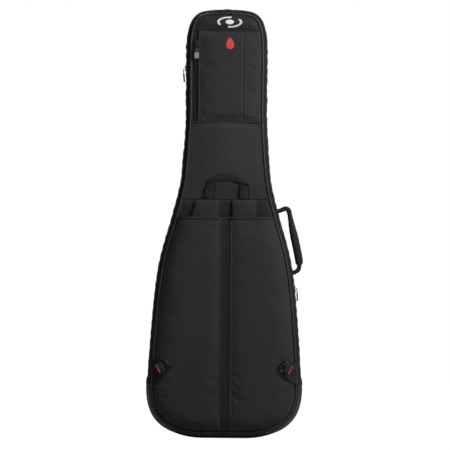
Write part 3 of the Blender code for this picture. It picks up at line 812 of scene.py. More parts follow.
def full_patch(inset, across, up, low=-INF, high=INF):
    """X, Z and edge distance of the outline inset, or of a band of it between two heights."""
    stations = clip_line(OUTLINE, low, high)
    right = inset_line(stations, inset)
    right[:, 1] = np.maximum(right[:, 1], low)
    bottom = right[:1]
    if low == -INF:
        # where the outline turns from the base to the side
        k = np.argmax((stations[:, 3] > -0.72) & (stations[:, 0] > 20))
        bottom, right = right[:k + 1], right[k:]
        bottom = np.concatenate([bottom[:0:-1] * (-1, 1), bottom[:1] * (-1, 1), bottom[1:]])
    else:
        bottom = np.concatenate([bottom * (-1, 1), bottom])
    if high == INF:
        # where the side turns into the top
        beside = stations[-len(right):]
        k = np.argmax((beside[:, 3] > 0.72) & (beside[:, 1] > 900))
        top, right = right[k:], right[:k + 1]
        top = np.concatenate([top * (-1, 1), top[::-1][1:]])
    else:
        top = np.concatenate([right[-1:] * (-1, 1), right[-1:]])
    side = resample(right, up)
    X, Z = coons(resample(bottom, across), side, resample(top, across), side * (-1, 1))
    return X, Z, edge_distance(X, Z)


def crown(distance, height, edge, power=2.0):
    """Rounded rise from 0 at the border to height once edge mm inside."""
    share = np.clip(1 - distance / edge, 0, 1)
    return height * (1 - share ** power) ** (1 / power)


def ridge(X, Z, start, end, width, height):
    """A soft wrinkle that fades out towards both ends of its line."""
    start, end = np.array(start, float), np.array(end, float)
    run = end - start
    dx, dz = X - start[0], Z - start[1]
    share = (dx * run[0] + dz * run[1]) / np.linalg.norm(run) ** 2
    near = np.clip(share, 0, 1)
    distance = np.hypot(dx - near * run[0], dz - near * run[1])
    fade = ease(-0.05, 0.35, share) * (1 - ease(0.65, 1.05, share))
    return height * fade * bell(distance, width)


def ridges(X, Z, table):
    """Sum of wrinkles; rows are start (x, z), end (x, z), width, height."""
    return sum(ridge(X, Z, *row) for row in table)


# =====================================================================================
# cloth: closed pads are inflated together, then their outer faces are kept
# =====================================================================================
CLOTH_FRAMES = 20
CLOTH_STIFFNESS = 14.0
QUEUED = []


def queue_pad(name, X, Y, Z, base_y, free, pressure, limit, shrink, bending):
    """Queue a pillow. free is 0..1, how loose each outer point is; limit caps its travel (mm)."""
    rows, columns = X.shape
    size = rows * columns
    mesh = bpy.data.meshes.new("sim_" + name)
    points = np.concatenate([np.stack([X, Y, Z], -1).reshape(-1, 3),
                             np.stack([X, np.full_like(X, base_y), Z], -1).reshape(-1, 3)]) * MM
    mesh.from_pydata([tuple(v) for v in points], [], slab_faces(rows, columns, turn=1))
    face_outward(mesh)
    obj = link(bpy.data.objects.new("sim_" + name, mesh))
    group = obj.vertex_groups.new(name="pin")
    for k, weight in enumerate(np.concatenate([1 - free.ravel(), np.ones(size)])):
        if weight > 0.001:
            group.add([k], float(weight), "REPLACE")
    cloth = obj.modifiers.new("cloth", "CLOTH")
    settings = cloth.settings
    settings.quality = 5
    settings.mass = 0.25
    settings.tension_stiffness = CLOTH_STIFFNESS
    settings.compression_stiffness = CLOTH_STIFFNESS
    settings.shear_stiffness = CLOTH_STIFFNESS * 0.5
    settings.bending_stiffness = bending
    settings.vertex_group_mass = "pin"
    settings.pin_stiffness = 1.0
    settings.use_pressure = True
    settings.uniform_pressure_force = pressure
    settings.shrink_min = shrink
    settings.effector_weights.gravity = 0.0
    cloth.collision_settings.use_collision = False
    cloth.collision_settings.use_self_collision = False
    cloth.point_cache.frame_start = 1
    cloth.point_cache.frame_end = CLOTH_FRAMES
    QUEUED.append((name, obj, points[:size].copy(), X.shape, limit))


def inflate_pads():
    """Run the queued pads and return {name: outer face [rows][columns][3] in mm}."""
    faces = {}
    for frame in range(1, CLOTH_FRAMES + 1):
        scene.frame_set(frame)
    depsgraph = bpy.context.evaluated_depsgraph_get()
    for name, obj, rest, shape, limit in QUEUED:
        result = rest
        vertices = obj.evaluated_get(depsgraph).data.vertices
        flat = np.empty(len(vertices) * 3)
        vertices.foreach_get("co", flat)
        move = flat.reshape(-1, 3)[:len(rest)] - rest
        move[~np.isfinite(move)] = 0
        travel = np.linalg.norm(move, axis=1)
        share = np.where(travel > limit * MM, limit * MM / np.maximum(travel, 1e-9), 1.0)
        result = rest + move * share[:, None]
        faces[name] = (result / MM).reshape(*shape, 3)
        mesh = obj.data
        bpy.data.objects.remove(obj, do_unlink=True)
        bpy.data.meshes.remove(mesh)
    scene.frame_set(1)
    return faces


def finer(grid):
    """Twice the grid density along both directions, by a four-point curve."""
    for axis in (0, 1):
        grid = np.moveaxis(grid, axis, 0)
        padded = np.concatenate([2 * grid[:1] - grid[1:2], grid, 2 * grid[-1:] - grid[-2:-1]])
        middle = (-padded[:-3] + 9 * padded[1:-2] + 9 * padded[2:-1] - padded[3:]) / 16
        dense = np.empty((2 * len(grid) - 1,) + grid.shape[1:])
        dense[::2], dense[1::2] = grid, middle
        grid = np.moveaxis(dense, 0, axis)
    return grid


def inflated(name):
    """X, Y, Z grids of an inflated pad."""
    grid = finer(INFLATED[name])
    return grid[..., 0], grid[..., 1], grid[..., 2]


# =====================================================================================
# shell: rear panel, side walls, piping, main zipper
# =====================================================================================


def scallop(along, x, z):
    """The zipper edge is drawn into shallow scallops (mm outward)."""
    right = x > 0
    phase = 2.2 * fbm(along * MM, 3.1 if right else 8.4, 0.6, 9.0, 2)
    depth = 0.6 * (0.55 + 0.9 * abs(fbm(along * MM, 5.5 if right else 1.4, 0.1, 14.0, 2)))
    depth *= ease(150, 200, z) * (1 - ease(985, 1030, z))
    return depth * (math.cos(2 * PI * along / 24.0 + phase)
                    + 0.25 * math.cos(2 * PI * along / 13.6 + 1.3 * phase))


def scallop_wave(along, inset, y, x, z):
    return scallop(along, x, z), 0.0


def wall_wave(along, inset, y, x, z):
    """Slack in the side wall: soft irregular waves, stronger along the neck."""
    slack = 0.55 + 0.75 * ease(560, 700, z) * (1 - ease(960, 1030, z))
    slack *= 1 - min(1, max(0, (inset - 4) / 9))
    broad = fbm(along * MM, 0.3 if x > 0 else 7.7, 0.2, 26.0, 3)
    small = fbm(along * MM, y * 0.004, 1.7 if x > 0 else 5.1, 70.0, 2)
    push = slack * (1.7 * broad + 0.7 * small) + scallop(along, x, z) * ease(44, 12, abs(y))
    return push, 0.35 * small


def piping_wave(along, inset, y, x, z):
    sway = fbm(along * MM, 2.2 if x > 0 else 9.1, 0.5, 40.0, 2)
    return 0.35 * sway, 0.25 * sway


def cross_dome(X, Z):
    """1 on the middle line, falling to 0 at the panel's sides."""
    half = np.maximum(half_width(Z) - PANEL_INSET, 1)
    return np.clip(1 - (X / half) ** 2, 0, 1)


BACK_WRINKLES = [
    ((34, 757), (80, 738), 5.0, 1.1), ((30, 742), (66, 728), 4.0, -0.8),
    ((-70, 640), (-44, 676), 6, 0.7), ((52, 700), (86, 652), 6, 0.8),
    ((-84, 770), (-40, 752), 5, 0.6), ((-60, 610), (-20, 624), 5, 0.6),
    ((-84, 612), (-60, 602), 4, 0.9), ((60, 610), (90, 604), 5, 0.7)]


def back_panel():
    """Flat under the pockets, crowned across the bare neck."""
    X, Z, edge = full_patch(PANEL_INSET, 46, 132)
    bare = ease(592, 640, Z) * (1 - ease(772, 786, Z))
    dome = cross_dome(X, Z)
    bulge = (8.0 + 1.2 * ease(648, 700, Z)) * (0.35 * dome ** 0.8 + 0.65 * dome ** 1.6)
    Y = REAR + 0.4 - crown(edge, 0.9, 5) - bulge * bare * ease(0, 12, edge)
    Y -= bare * (0.5 * uneven(X, Z, seed=0.4, scale=16) + ridges(X, Z, BACK_WRINKLES))
    # the lighter nylon copy paints the light on the back panel's neck
    sheet("back_panel", X, Y, Z, REAR + 11.5, LIT_BACK_NYLON, replaces=["rear_panel"])


# closed profiles round the outline: inset, y
REAR_WALL = [(15.4, -51.8), (10.4, -51.6), (7.6, -46.5), (3.2, -37), (1.0, -26), (0.1, -14),
             (0.0, -8.6), (2.2, -8.3), (8.0, -8.3), (8.2, -20), (10.5, -36), (13.8, -43.5)]
FRONT_WALL = [(15.4, 47.8), (10.4, 47.6), (7.6, 43), (3.2, 34), (1.0, 24), (0.1, 13),
              (0.0, 8.6), (2.2, 8.3), (8.0, 8.3), (8.2, 18), (10.5, 32), (13.6, 39.5)]
BOTTOM_WALL = [(15.4, -51.8), (10.4, -51.6), (7.6, -46.5), (3.2, -37), (0.9, -24), (0.3, -10),
               (0.3, 10), (0.9, 22), (3.2, 33), (7.4, 42.5), (10.4, 47.7), (15.4, 47.8),
               (13.5, 39.5), (10.5, 32), (8.0, 10), (8.0, -10), (10.5, -36), (13.6, -43)]
REAR_FLANGE = [(9.2, -51.4), (9.0, -52.3), (10.6, -53.2), (15.8, -53.6), (16.2, -52.9),
               (15.8, -52.0)]
FRONT_FLANGE = [(9.2, 47.6), (9.0, 48.6), (10.6, 49.4), (15.8, 49.8), (16.2, 49.1),
                (15.8, 48.2)]
STORM_FLAP = [(5.4, -9.6), (5.2, -4.0), (5.5, 3.0), (5.9, 6.6), (6.9, 6.4), (6.7, 2.0),
              (6.6, -4.0), (6.8, -9.6)]
SCUFF_GUARD = (
    [(9.3, -51.2), (8.2, -52.4), (6.6, -52.3), (5.6, -50.4), (3.6, -45.5), (0.3, -37.0),
     (-1.6, -30), (-2.3, -24)]
    + [(-2.55, y) for y in np.linspace(-20, 17, 26)]
    + [(-2.3, 21), (-1.6, 26), (0.2, 32.5), (3.4, 41), (5.4, 45.6), (6.6, 48.2), (8.2, 48.4),
       (9.3, 47.3), (6.8, 42.3), (2.8, 32.5), (0.5, 22), (-0.05, 10), (-0.05, -10),
       (0.5, -24), (2.8, -36.5), (6.9, -46.2)])
# seam heights where the walls meet the fold tabs
REAR_WALL_START, FRONT_WALL_START = 132.4, 135.3
PIPING_RADIUS, PIPING_INSET, PIPING_RISE = 2.45, 12.5, 0.6


def rear_edge():
    """Side wall and piping of the rear half."""
    sweep_outline("rear_side_wall", upper_path(REAR_WALL_START), chaikin(REAR_WALL, 1), SHADED_WALL_NYLON,
                  wave=wall_wave, replaces=["rear_gusset"])
    cord = circle(PIPING_RADIUS, centre=(PIPING_INSET, REAR - PIPING_RISE))
    sweep_outline("rear_piping_cord", ring_path(), cord, PIPING, wave=piping_wave,
                  replaces=["rear_piping"])
    sweep_outline("rear_piping_flange", ring_path(), chaikin(REAR_FLANGE, 1), BINDING,
                  wave=piping_wave)


ZIP_TAPE = [(2.6, 8.0), (2.3, 7.0), (2.7, 2.6), (3.3, 1.6), (4.3, 1.6), (4.4, 8.0)]  # inset, y
# one turn of the coil, from the tape to the middle: y, inset, radius, share of the inset radius
COIL_TURN = [(3.9, 3.2, 0.85, 0.4), (3.3, 1.35, 0.95, 1), (1.8, 0.95, 0.95, 1),
             (0.25, 1.6, 0.7, 1)]


def zip_half(name, sign, body, node):
    """Woven tape and a nylon coil of separate turns; sign -1 is the rear half, +1 the lid."""
    path = upper_path()
    tape = [(inset, y * sign) for inset, y in ZIP_TAPE]
    sweep_outline(name + "_tape", path, tape, TAPE, body, scallop_wave, [node])
    stations = path[0]
    run = stations[:, 4]
    pitch = 2.9
    bm = bmesh.new()
    for k in range(int((run[-1] - run[0]) / pitch)):
        along = run[0] + (k + (0.5 if sign > 0 else 0.0) + 0.3) * pitch
        x, z, out_x, out_z = (np.interp(along, run, stations[:, q]) for q in range(4))
        size = math.hypot(out_x, out_z)
        out_x, out_z = out_x / size, out_z / size
        push = scallop(along, x, z)
        rings = []
        for y, inset, radius, share in COIL_TURN:
            ring = []
            for a in range(5):
                angle = 2 * PI * a / 5
                out = push - inset - share * radius * math.cos(angle)
                side = radius * 1.05 * math.sin(angle)
                ring.append((x + out_x * out - out_z * side, y * sign,
                             z + out_z * out + out_x * side))
            rings.append(ring)
        skin(bm, rings)
    make(name + "_coil", bm, COIL, body, smooth=80)


def guard_wave(along, inset, y, x, z):
    """Ribs on the outer face, and ends that thin out towards the fold."""
    full = ease(0, 9, FOLD_LOW - z)
    ribbed = -34 < y < 31 and inset < 3.5
    rib = 0.55 * math.cos(2 * PI * y / 9.0) if ribbed else 0.0
    return -2.3 * (1 - full) + rib * full, 0.0


def closed_bottom():
    sweep_outline("bottom_wall", lower_path(), chaikin(BOTTOM_WALL, 1), SHADED_WALL_NYLON,
                  replaces=["bottom_gusset"])
    sweep_outline("scuff_guard", lower_path(), SCUFF_GUARD, RUBBER, wave=guard_wave,
                  replaces=["bottom_guard"])


def head_cap():
    """Domed panel over the top of the rear."""
    X, Z, edge = full_patch(POCKET_INSET, 34, 12, low=1006.6)
    Y = REAR - 1.6 - crown(edge, 5.6, 24) - 0.25 * uneven(X, Z, seed=0.9, scale=30)
    Y -= ridges(X, Z, [((-62, 1012), (-30, 1030), 6, 0.7), ((50, 1014), (70, 1030), 5, 0.6)])
    Y -= 7.0 * (1 - (X / 96.0) ** 2) * ease(0, 26, edge)
    # the head cap takes the darker nylon copy as painted shade
    return sheet("head_cap", X, Y, Z, REAR - 0.3, SHADED_CAP_NYLON, replaces=["head_cap_panel"])


back_panel()
rear_edge()
zip_half("main_zip_rear", -1, "shell", "main_zip_half_rear")
sweep_outline("zip_storm_flap", upper_path(REAR_WALL_START), STORM_FLAP, DARK_NYLON,
              wave=scallop_wave)
closed_bottom()
HEAD_CAP = head_cap()

# =====================================================================================
# padded pockets: forms, then one cloth run
# =====================================================================================
SPINE_LEFT, SPINE_RIGHT = box_mm("spine_channel")[:2]
SPINE_MIDDLE = (SPINE_LEFT + SPINE_RIGHT) / 2
MOUTH = box_mm("stow_pocket_left")[5]  # top edge of the stow pockets
HEAD_X0, _, _, _, HEAD_Z0, HEAD_Z1 = box_mm("head_pocket_panel")
PAD_FACE, PAD_BASE = -56.6, -54.6      # y where the pads' faces and backs start


def stow_form(tag, sign):
    """Pad between the spine, the curved bottom, the outer edge and the mouth."""
    x_in = (abs(SPINE_LEFT) if sign < 0 else SPINE_RIGHT) + 0.5
    line = clip_line(inset_line(OUTLINE, POCKET_INSET), high=MOUTH, x_min=x_in, gap=0.3)
    corner = int(np.argmax((line[:, 0] - x_in) * 0.62 - line[:, 1] * 0.62))
    bottom, right = line[:corner + 1], line[corner:]
    X, Z = coons(resample(bottom, 32), resample(right, 96),
                 resample([(x_in, MOUTH), right[-1]], 32),
                 resample([(x_in, bottom[0][1]), (x_in, MOUTH)], 96))
    X = X * sign
    # steep at the piping, a quick roll at the spine, a long slow dome over the pad
    from_edge = inset_of(X, Z) - POCKET_INSET
    from_spine = np.abs(X) - x_in
    inside = np.clip(from_edge, 0, None)
    rise = crown(inside, 1.0, 40, 2.0)
    roll = crown(np.clip(from_spine, 0, None), 1.0, 9.0, 2.2)
    peak = 16.6 - 2.6 * (np.abs(X) / 165) ** 2
    Y = PAD_FACE - peak * rise * (0.80 + 0.20 * roll)
    Y -= 0.5 * uneven(X, Z, seed=1.3 + sign, scale=11) * ease(4, 26, from_edge)
    free = ease(1.5, 9, inside) * ease(0.5, 7, from_spine)
    free = free * (1 - 0.85 * (1 - ease(2, 26, MOUTH - Z)))
    queue_pad("stow_" + tag, X, Y, Z, PAD_BASE, free, pressure=1.1, limit=3.2, shrink=-0.012,
              bending=0.35)
    return finer(from_edge), finer(from_spine)


def head_form():
    side = clip_line(inset_line(OUTLINE, POCKET_INSET), low=HEAD_Z0, high=HEAD_Z1, gap=0.3)
    low, high = (HEAD_X0, HEAD_Z0), (HEAD_X0, HEAD_Z1)
    X, Z = coons(resample([low, side[0]], 30), resample(side, 44),
                 resample([high, side[-1]], 30), resample([low, high], 44))
    edge = edge_distance(X, Z)
    from_piping = np.where(X > 0, inset_of(X, Z) - POCKET_INSET, 99)
    middle = (HEAD_X0 + 85) / 2
    Y = PAD_FACE - crown(np.minimum(edge, from_piping), 2.4, 16)
    Y -= 5.2 * np.clip(1 - ((X - middle) / 78) ** 2, 0, 1) * ease(0, 20, edge)
    Y -= 0.35 * uneven(X, Z, seed=3.1, scale=14) * ease(2, 16, edge)
    queue_pad("head", X, Y, Z, PAD_BASE, ease(1.5, 10, edge), pressure=0.8, limit=1.6,
              shrink=-0.006, bending=0.5)
    return finer(edge)


def front_form():
    low, high = box_mm("front_body_pocket")[4:]
    X, Z, edge = full_patch(26.0, 40, 44, low, high)
    Y = FRONT + 1.6 + crown(edge, 17.0, 42, 2.0) + 2.0 * ease(30, 110, edge)
    Y += 0.6 * uneven(X, Z, seed=6.1, scale=10)
    queue_pad("front", X, Y, Z, FRONT + 0.4, ease(1.5, 10, edge), pressure=1.0, limit=3.0,
              shrink=-0.012, bending=0.4)
    return finer(edge)


STOW_DISTANCES = {tag: stow_form(tag, sign) for tag, sign in SIDES}
HEAD_EDGE = head_form()
FRONT_EDGE = front_form()
INFLATED = inflate_pads()

# =====================================================================================
# stow pockets and the spine between them
# =====================================================================================
# rows of small puckers beside a seam; rise lifts their two ends, reach and spread set
# their length, drift tilts them at random
PUCKERS = {
    "left": dict(levels=(136, 126, 115, 105, 96, 86, 76, 66, 57, 48), rise=(0, 3),
                 strength=(0.8, 1.5), reach=16, spread=14, drift=5, width=2.6),
    "right": dict(levels=(149, 138, 127, 117, 106, 96, 87, 78, 68, 58, 49, 41, 33),
                  rise=(7, -7), strength=(0.9, 1.7), reach=13, spread=13, drift=3, width=2.5)}
STOW_WRINKLES = {
    "left": [((-half_width(z) + 20, z), (-half_width(z) + 46, z - 14), 5, 0.4)
             for z in (420, 300)]
    + [((-12, 540), (-40, 516), 5, 1.2), ((-60, 532), (-104, 516), 6, 0.7),
       ((-30, 40), (-112, 46), 5, 0.8), ((-20, 150), (-44, 128), 6, 0.6)],
    "right": [((20, 530), (58, 518), 6, 0.9), ((24, 500), (70, 505), 7, 0.6),
              ((80, 520), (108, 470), 7, 0.7), ((120, 110), (160, 150), 8, 0.8),
              ((40, 30), (110, 34), 5, 0.8)]}


def puckers(X, Z, tag, sign):
    """Raised folds, each with a hollow 5 mm below it."""
    style = PUCKERS[tag]
    width = style["width"]
    random = np.random.RandomState(4 + sign)
    total = 0
    for level in style["levels"]:
        z = level + random.uniform(-2, 2)
        height = random.uniform(*style["strength"])
        x = SPINE_RIGHT + 3 if sign > 0 else -half_width(level) + 18.5
        start = (x, z + style["rise"][0])
        end = (x + style["reach"] + random.uniform(0, style["spread"]),
               z + style["rise"][1] + random.uniform(-style["drift"], style["drift"]))
        total = total + ridge(X, Z, start, end, width, height)
        total = total - ridge(X, Z, (start[0], start[1] - 5), (end[0], end[1] - 5), width - 0.2,
                              0.6 * height)
    return total


def calmed(Y):
    """Strongly smoothed copy of a grid, border held."""
    calm = Y.copy()
    for _ in range(60):
        wide = np.pad(calm, 1, mode="edge")
        calm = (wide[:-2, 1:-1] + wide[2:, 1:-1] + wide[1:-1, :-2] + wide[1:-1, 2:]
                + 2 * calm) / 6
        calm[0], calm[-1], calm[:, 0], calm[:, -1] = Y[0], Y[-1], Y[:, 0], Y[:, -1]
    return calm


def stow_pad(tag, sign):
    from_edge, from_spine = STOW_DISTANCES[tag]
    X, Y, Z = inflated("stow_" + tag)
    share = 0.25 + 0.55 * ease(110, 230, Z)
    Y = Y * (1 - share) + calmed(Y) * share
    # tuck lines inside the piping, beside the spine and below the mouth
    Y = Y + 1.0 * bell(from_edge - 3.0, 1.4)
    Y = Y + 0.8 * bell(from_spine - 6.0, 1.3) * (1.0 if sign > 0 else 0.5)
    Y = Y + 0.45 * bell(MOUTH - Z - 5.6, 1.2)
    Y = Y - puckers(X, Z, tag, sign) - ridges(X, Z, STOW_WRINKLES[tag])
    Y = Y - 0.18 * uneven(X, Z, seed=8.0 + sign, scale=42) * ease(3, 16, from_edge)
    # gathers along the piping and along the spine
    Y = Y - (0.18 * bell(from_edge - 7.5, 4.0)
             * np.sin(2 * PI * Z / 8.6 + 3.0 * np.sin(Z / 37.0)))
    Y = Y - (0.16 * bell(from_spine - 10.0, 4.0)
             * np.sin(2 * PI * Z / 9.4 + 2.2 * np.sin(Z / 31.0)))
    thickness = 2.2 + 0.6 * ease(2, 10, from_edge) * ease(2, 8, from_spine)
    sheet("stow_pad_" + tag, X, Y, Z, Y + thickness, NYLON, replaces=["stow_pocket_" + tag])
    return X, Y, Z


def row_below_mouth(pad, distance):
    return int(np.argmin(np.abs(MOUTH - pad[2][:, 10] - distance)))


def stow_pad_stitching():
    lines = []
    for tag, sign in SIDES:
        pad = PADS[tag]
        from_edge, from_spine = STOW_DISTANCES[tag]
        rows, columns = from_edge.shape
        beside = 6.0 if sign > 0 else 4.5
        j = int(np.argmin(np.abs(from_spine[rows // 2] - beside)))
        lines.append(trace(pad, slice(3, -1), j, -0.1))
        lines.append(trace(pad, row_below_mouth(pad, 10.5), slice(1, -2), -0.1))
        # inside the piping: up the outer edge, searched in its last columns, then the bottom
        off_seam = np.abs(from_edge - 3.2)
        side_rows = [i for i in range(2, rows - 2) if np.argmin(off_seam[i]) > 0]
        side_columns = [columns - 15 + int(np.argmin(off_seam[i, -15:])) for i in side_rows]
        lines.append(trace(pad, side_rows, side_columns, -0.15))
        bottom_columns = np.arange(1, columns - 2)
        bottom_rows = np.argmin(off_seam[:28, bottom_columns], axis=0)
        lines.append(trace(pad, bottom_rows, bottom_columns, -0.15))
    stitches("stow_pad_stitching", lines)


def mouth_edge():
    """Binding along the pocket mouths, carried straight across the spine, with a painted shadow
    strip below.
    """
    pad_x = np.concatenate([PADS[tag][0][-1] for tag, _ in SIDES])
    pad_y = np.concatenate([PADS[tag][1][-1] for tag, _ in SIDES])
    order = np.argsort(pad_x, kind="stable")
    pad_x, pad_y = pad_x[order], pad_y[order]
    x = np.linspace(pad_x[0] + 0.6, pad_x[-1] - 0.6, 120)
    y = np.interp(x, pad_x, pad_y)
    off_spine = np.abs(x - SPINE_MIDDLE)
    y = np.where(off_spine < 24, np.minimum(y, -69.6 + 0.05 * (24 - off_spine)), y)
    relax(y, 5)
    waver = np.array([fbm(value * MM, 0, 0, 30, 2) for value in x])
    z = MOUTH - 0.9 - 1.0 * bell(x + 4, 10) + 0.4 * waver
    path = line_of(x, y + 1.7, z)
    tube("mouth_binding", path, rounded(5.0, 3.9, 1.5), HEM_NYLON, outward=(0, 0, 1),
         replaces=["stow_pocket_hem"])
    stitches("mouth_binding_stitching", [path + (0, -2.15, -1.1)], pitch=3.8, length=2.6,
             radius=0.34)
    # thin black strip along the crease 5 mm under the binding: painted shadow cast by the binding
    for tag, _ in SIDES:
        line = trace(PADS[tag], row_below_mouth(PADS[tag], 5.0), slice(1, -1), -0.2)
        tube("mouth_shadow_strip_" + tag, line, rounded(1.9, 1.2, 0.5, 2), TAPE)


def spine():
    """Strip between the pads, and the tapes turned over the pad edges beside it."""
    across = np.linspace(-1, 1, 13)
    X, Z = np.meshgrid(SPINE_MIDDLE + across * (SPINE_RIGHT - SPINE_LEFT) / 2,
                       np.linspace(20.5, MOUTH - 8.6, 130))
    Y = -70.6 + 0.8 * (1 - across ** 2) - 0.5 * across + 0.2 * uneven(X, Z, seed=4.4, scale=40)
    Y += 9.0 * (1 - ease(20, 58, Z)) ** 1.5
    Y -= ridges(X, Z, [((SPINE_LEFT + 2, z + 8), (SPINE_RIGHT - 2, z), 3.5, 0.5)
                       for z in (70, 96, 118, 214, 330, 470)])
    sheet("spine_strip", X, Y, Z, REAR - 0.4, RIPSTOP, replaces=["spine_channel"])
    for tag, sign in SIDES:
        width, lift = (3.2, 0.7) if sign > 0 else (1.9, 0.0)
        path = trace(PADS[tag], slice(2, -3), 0, -0.6)
        path[:, 0] += sign * width * 0.35
        path[:, 1] = np.convolve(np.pad(path[:, 1], 4, mode="edge"), np.ones(9) / 9, "valid")
        path[:, 1] = np.minimum(path[:, 1], -70.2) - lift
        path[:, 1] += 9.0 * ease(64, 22, path[:, 2]) ** 1.5
        tube("spine_binding_" + tag, path, rounded(width * 1.2, 2.4, 1.0), NYLON)


PADS = {tag: stow_pad(tag, sign) for tag, sign in SIDES}
stow_pad_stitching()
mouth_edge()
spine()

# =====================================================================================
# zipper parts
# =====================================================================================


def coil_line(name, start, end, outward, body):
    """Interlocked coil of a closed zipper: short cross turns from either side."""
    half, pitch, radius = 1.55, 2.6, 0.8
    start, end, out = (np.array(v, float) for v in (start, end, outward))
    length = np.linalg.norm(end - start)
    along = (end - start) / length
    side = np.cross(along, out)
    bm = bmesh.new()
    for k in range(int(length / pitch)):
        for sign in (-1, 1):
            centre = start + along * (k + 0.5) * pitch + along * (0.25 * pitch * sign)
            turn = [centre + side * sign * half * 1.25 - out * 0.5,
                    centre + side * sign * half * 0.7 + out * 0.25,
                    centre - side * sign * 0.2 + out * 0.35,
                    centre - side * sign * 0.7 - out * 0.3]
            skin(bm, [[point + along * 0.62 * math.sin(angle) * radius
                       + out * math.cos(angle) * radius
                       for angle in (0, 1.26, 2.51, 3.77, 5.03)] for point in turn])
    make(name, bm, COIL, body, smooth=80)


# half of a slider's waisted outline: share of length, share of width
SLIDER_OUTLINE = [(-0.50, 0.34), (-0.44, 0.46), (-0.15, 0.40), (0.12, 0.44), (0.36, 0.50),
                  (0.47, 0.36), (0.50, 0.12)]
SLIDER_LEVELS = [(0.0, 0.90), (0.06, 1.0), (0.40, 1.0), (0.50, 0.90)]  # share of height, size


def slider(name, node, base, along, outward, width, length, height):
    """Zipper slider: waisted body and an arched bridge; base is the middle of its underside."""
    base, along, out = (np.array(v, float) for v in (base, along, outward))
    side = np.cross(along, out)
    right = [(v * length, u * width) for v, u in SLIDER_OUTLINE]
    outline = chaikin(right + [(v, -u) for v, u in reversed(right)], 1)
    bm = bmesh.new()
    skin(bm, [[base + along * v * size + side * u * size + out * level * height
               for v, u in outline] for level, size in SLIDER_LEVELS])
    bridge = []
    for share in np.linspace(0, 1, 13):
        rise = 0.44 + 0.50 * math.sin(PI * share) ** 0.55
        bridge.append(base + along * (-0.34 + 0.68 * share) * length + out * rise * height)
    add_tube(bm, bridge, rounded(width * 0.34, height * 0.13, height * 0.05, 2), out)
    make(name, bm, SLIDER, node, [node], smooth=40)


def pull(name, node, top, down, outward, length, grip_length, width, thickness, insert=0.0):
    """Cord loop with a moulded grip; insert is the share of the grip that is a light pad."""
    top, down, out = (np.array(v, float) for v in (top, down, outward))
    side = np.cross(down, out)
    neck = length - grip_length

    def strand(q, sign):
        return (top + down * (1.3 + (neck + 0.2) * q / 6)
                + side * sign * (1.5 + 0.5 * math.sin(PI * q / 6)))

    bend = [top + down * (1.3 - 1.3 * math.sin(PI * k / 8)) - side * 1.5 * math.cos(PI * k / 8)
            for k in range(9)]
    cord = ([strand(q, -1) for q in range(6, 0, -1)] + bend
            + [strand(q, 1) for q in range(1, 7)])
    tube(name + "_cord", cord, circle(0.95, 8), WEBBING, node, (), out, 60)
    steps = 26
    axis = [top + down * (neck + grip_length * q / steps) for q in range(steps + 1)]

    def grip(i, share):
        taper = 0.72 + 0.28 * ease(0, 0.28, share)
        end = math.sqrt(max(0.0, 1 - max(0.0, (share - 0.93) / 0.07) ** 2)) * 0.35 + 0.65
        end *= 0.75 + 0.25 * ease(0, 0.05, share)
        rib = 1.07 if i % 4 < 2 and 0.12 < share < 0.5 else 1.0
        return rounded(width * taper * end, thickness * end * rib, thickness * 0.36)

    def pad(i, share):
        return rounded(width * (1 - 0.14 * abs(2 * share - 1) ** 4), thickness * 1.02,
                       thickness * 0.3)

    tube(name + "_grip", axis, grip, BLACK_GRIP, node, [node], out, 35)
    if insert:
        pad_axis = [point + out * thickness * 0.10
                    for point in axis[int(steps * (1 - insert)):steps]]
        tube(name + "_insert", pad_axis, pad, GREY_GRIP, node, (), out, 35)


# =====================================================================================
# head pocket
# =====================================================================================
HEAD_SEAM_X = 41.0
HEAD_WRINKLES = [((52, 985), (70, 960), 5, 0.5), ((-40, 800), (-10, 812), 5, 0.5),
                 ((50, 800), (72, 820), 5, 0.5), ((-62, 900), (-50, 860), 4, 0.5),
                 ((-58, 980), (-36, 960), 5, 0.5)]


def head_pocket():
    """Pocket pad with a vertical seam."""
    X, Y, Z = inflated("head")
    gather = np.sin(2 * PI * (Z + 0.4 * X) / 8.8 + 2.0 * np.sin(Z / 29.0))
    Y = Y - 0.22 * bell(HEAD_EDGE - 8.0, 4.0) * gather
    Y = Y - 0.2 * uneven(X, Z, seed=5.2, scale=45) * ease(2, 10, HEAD_EDGE)
    Y = Y + 1.1 * bell(X - HEAD_SEAM_X, 1.7) + 0.6 * bell(Z - HEAD_Z0 - 8, 1.6)
    Y = Y - 0.35 * bell(X - HEAD_SEAM_X - 5, 3) - 0.35 * bell(X - HEAD_SEAM_X + 5, 3)
    Y = Y - ridges(X, Z, HEAD_WRINKLES)
    sheet("head_pocket", X, Y, Z, Y + 2.2, NYLON, replaces=["head_pocket_panel"])

    def on_pad(x, z):
        i = int(np.argmin(np.abs(Z[:, 0] - z)))
        return x, Y[i, int(np.argmin(np.abs(X[i] - x)))] - 0.2, z

    heights = np.linspace(HEAD_Z0 + 4, HEAD_Z1 - 4, 60)
    lines = [[on_pad(HEAD_SEAM_X + offset, z) for z in heights] for offset in (-3.4, 3.4)]
    lines.append([on_pad(x, HEAD_Z0 + 8) for x in np.linspace(HEAD_X0 + 4, 78, 60)])
    lines.append([on_pad(HEAD_X0 + 3.0, z) for z in heights])
    stitches("head_pocket_stitching", lines)
    return X, Y, Z


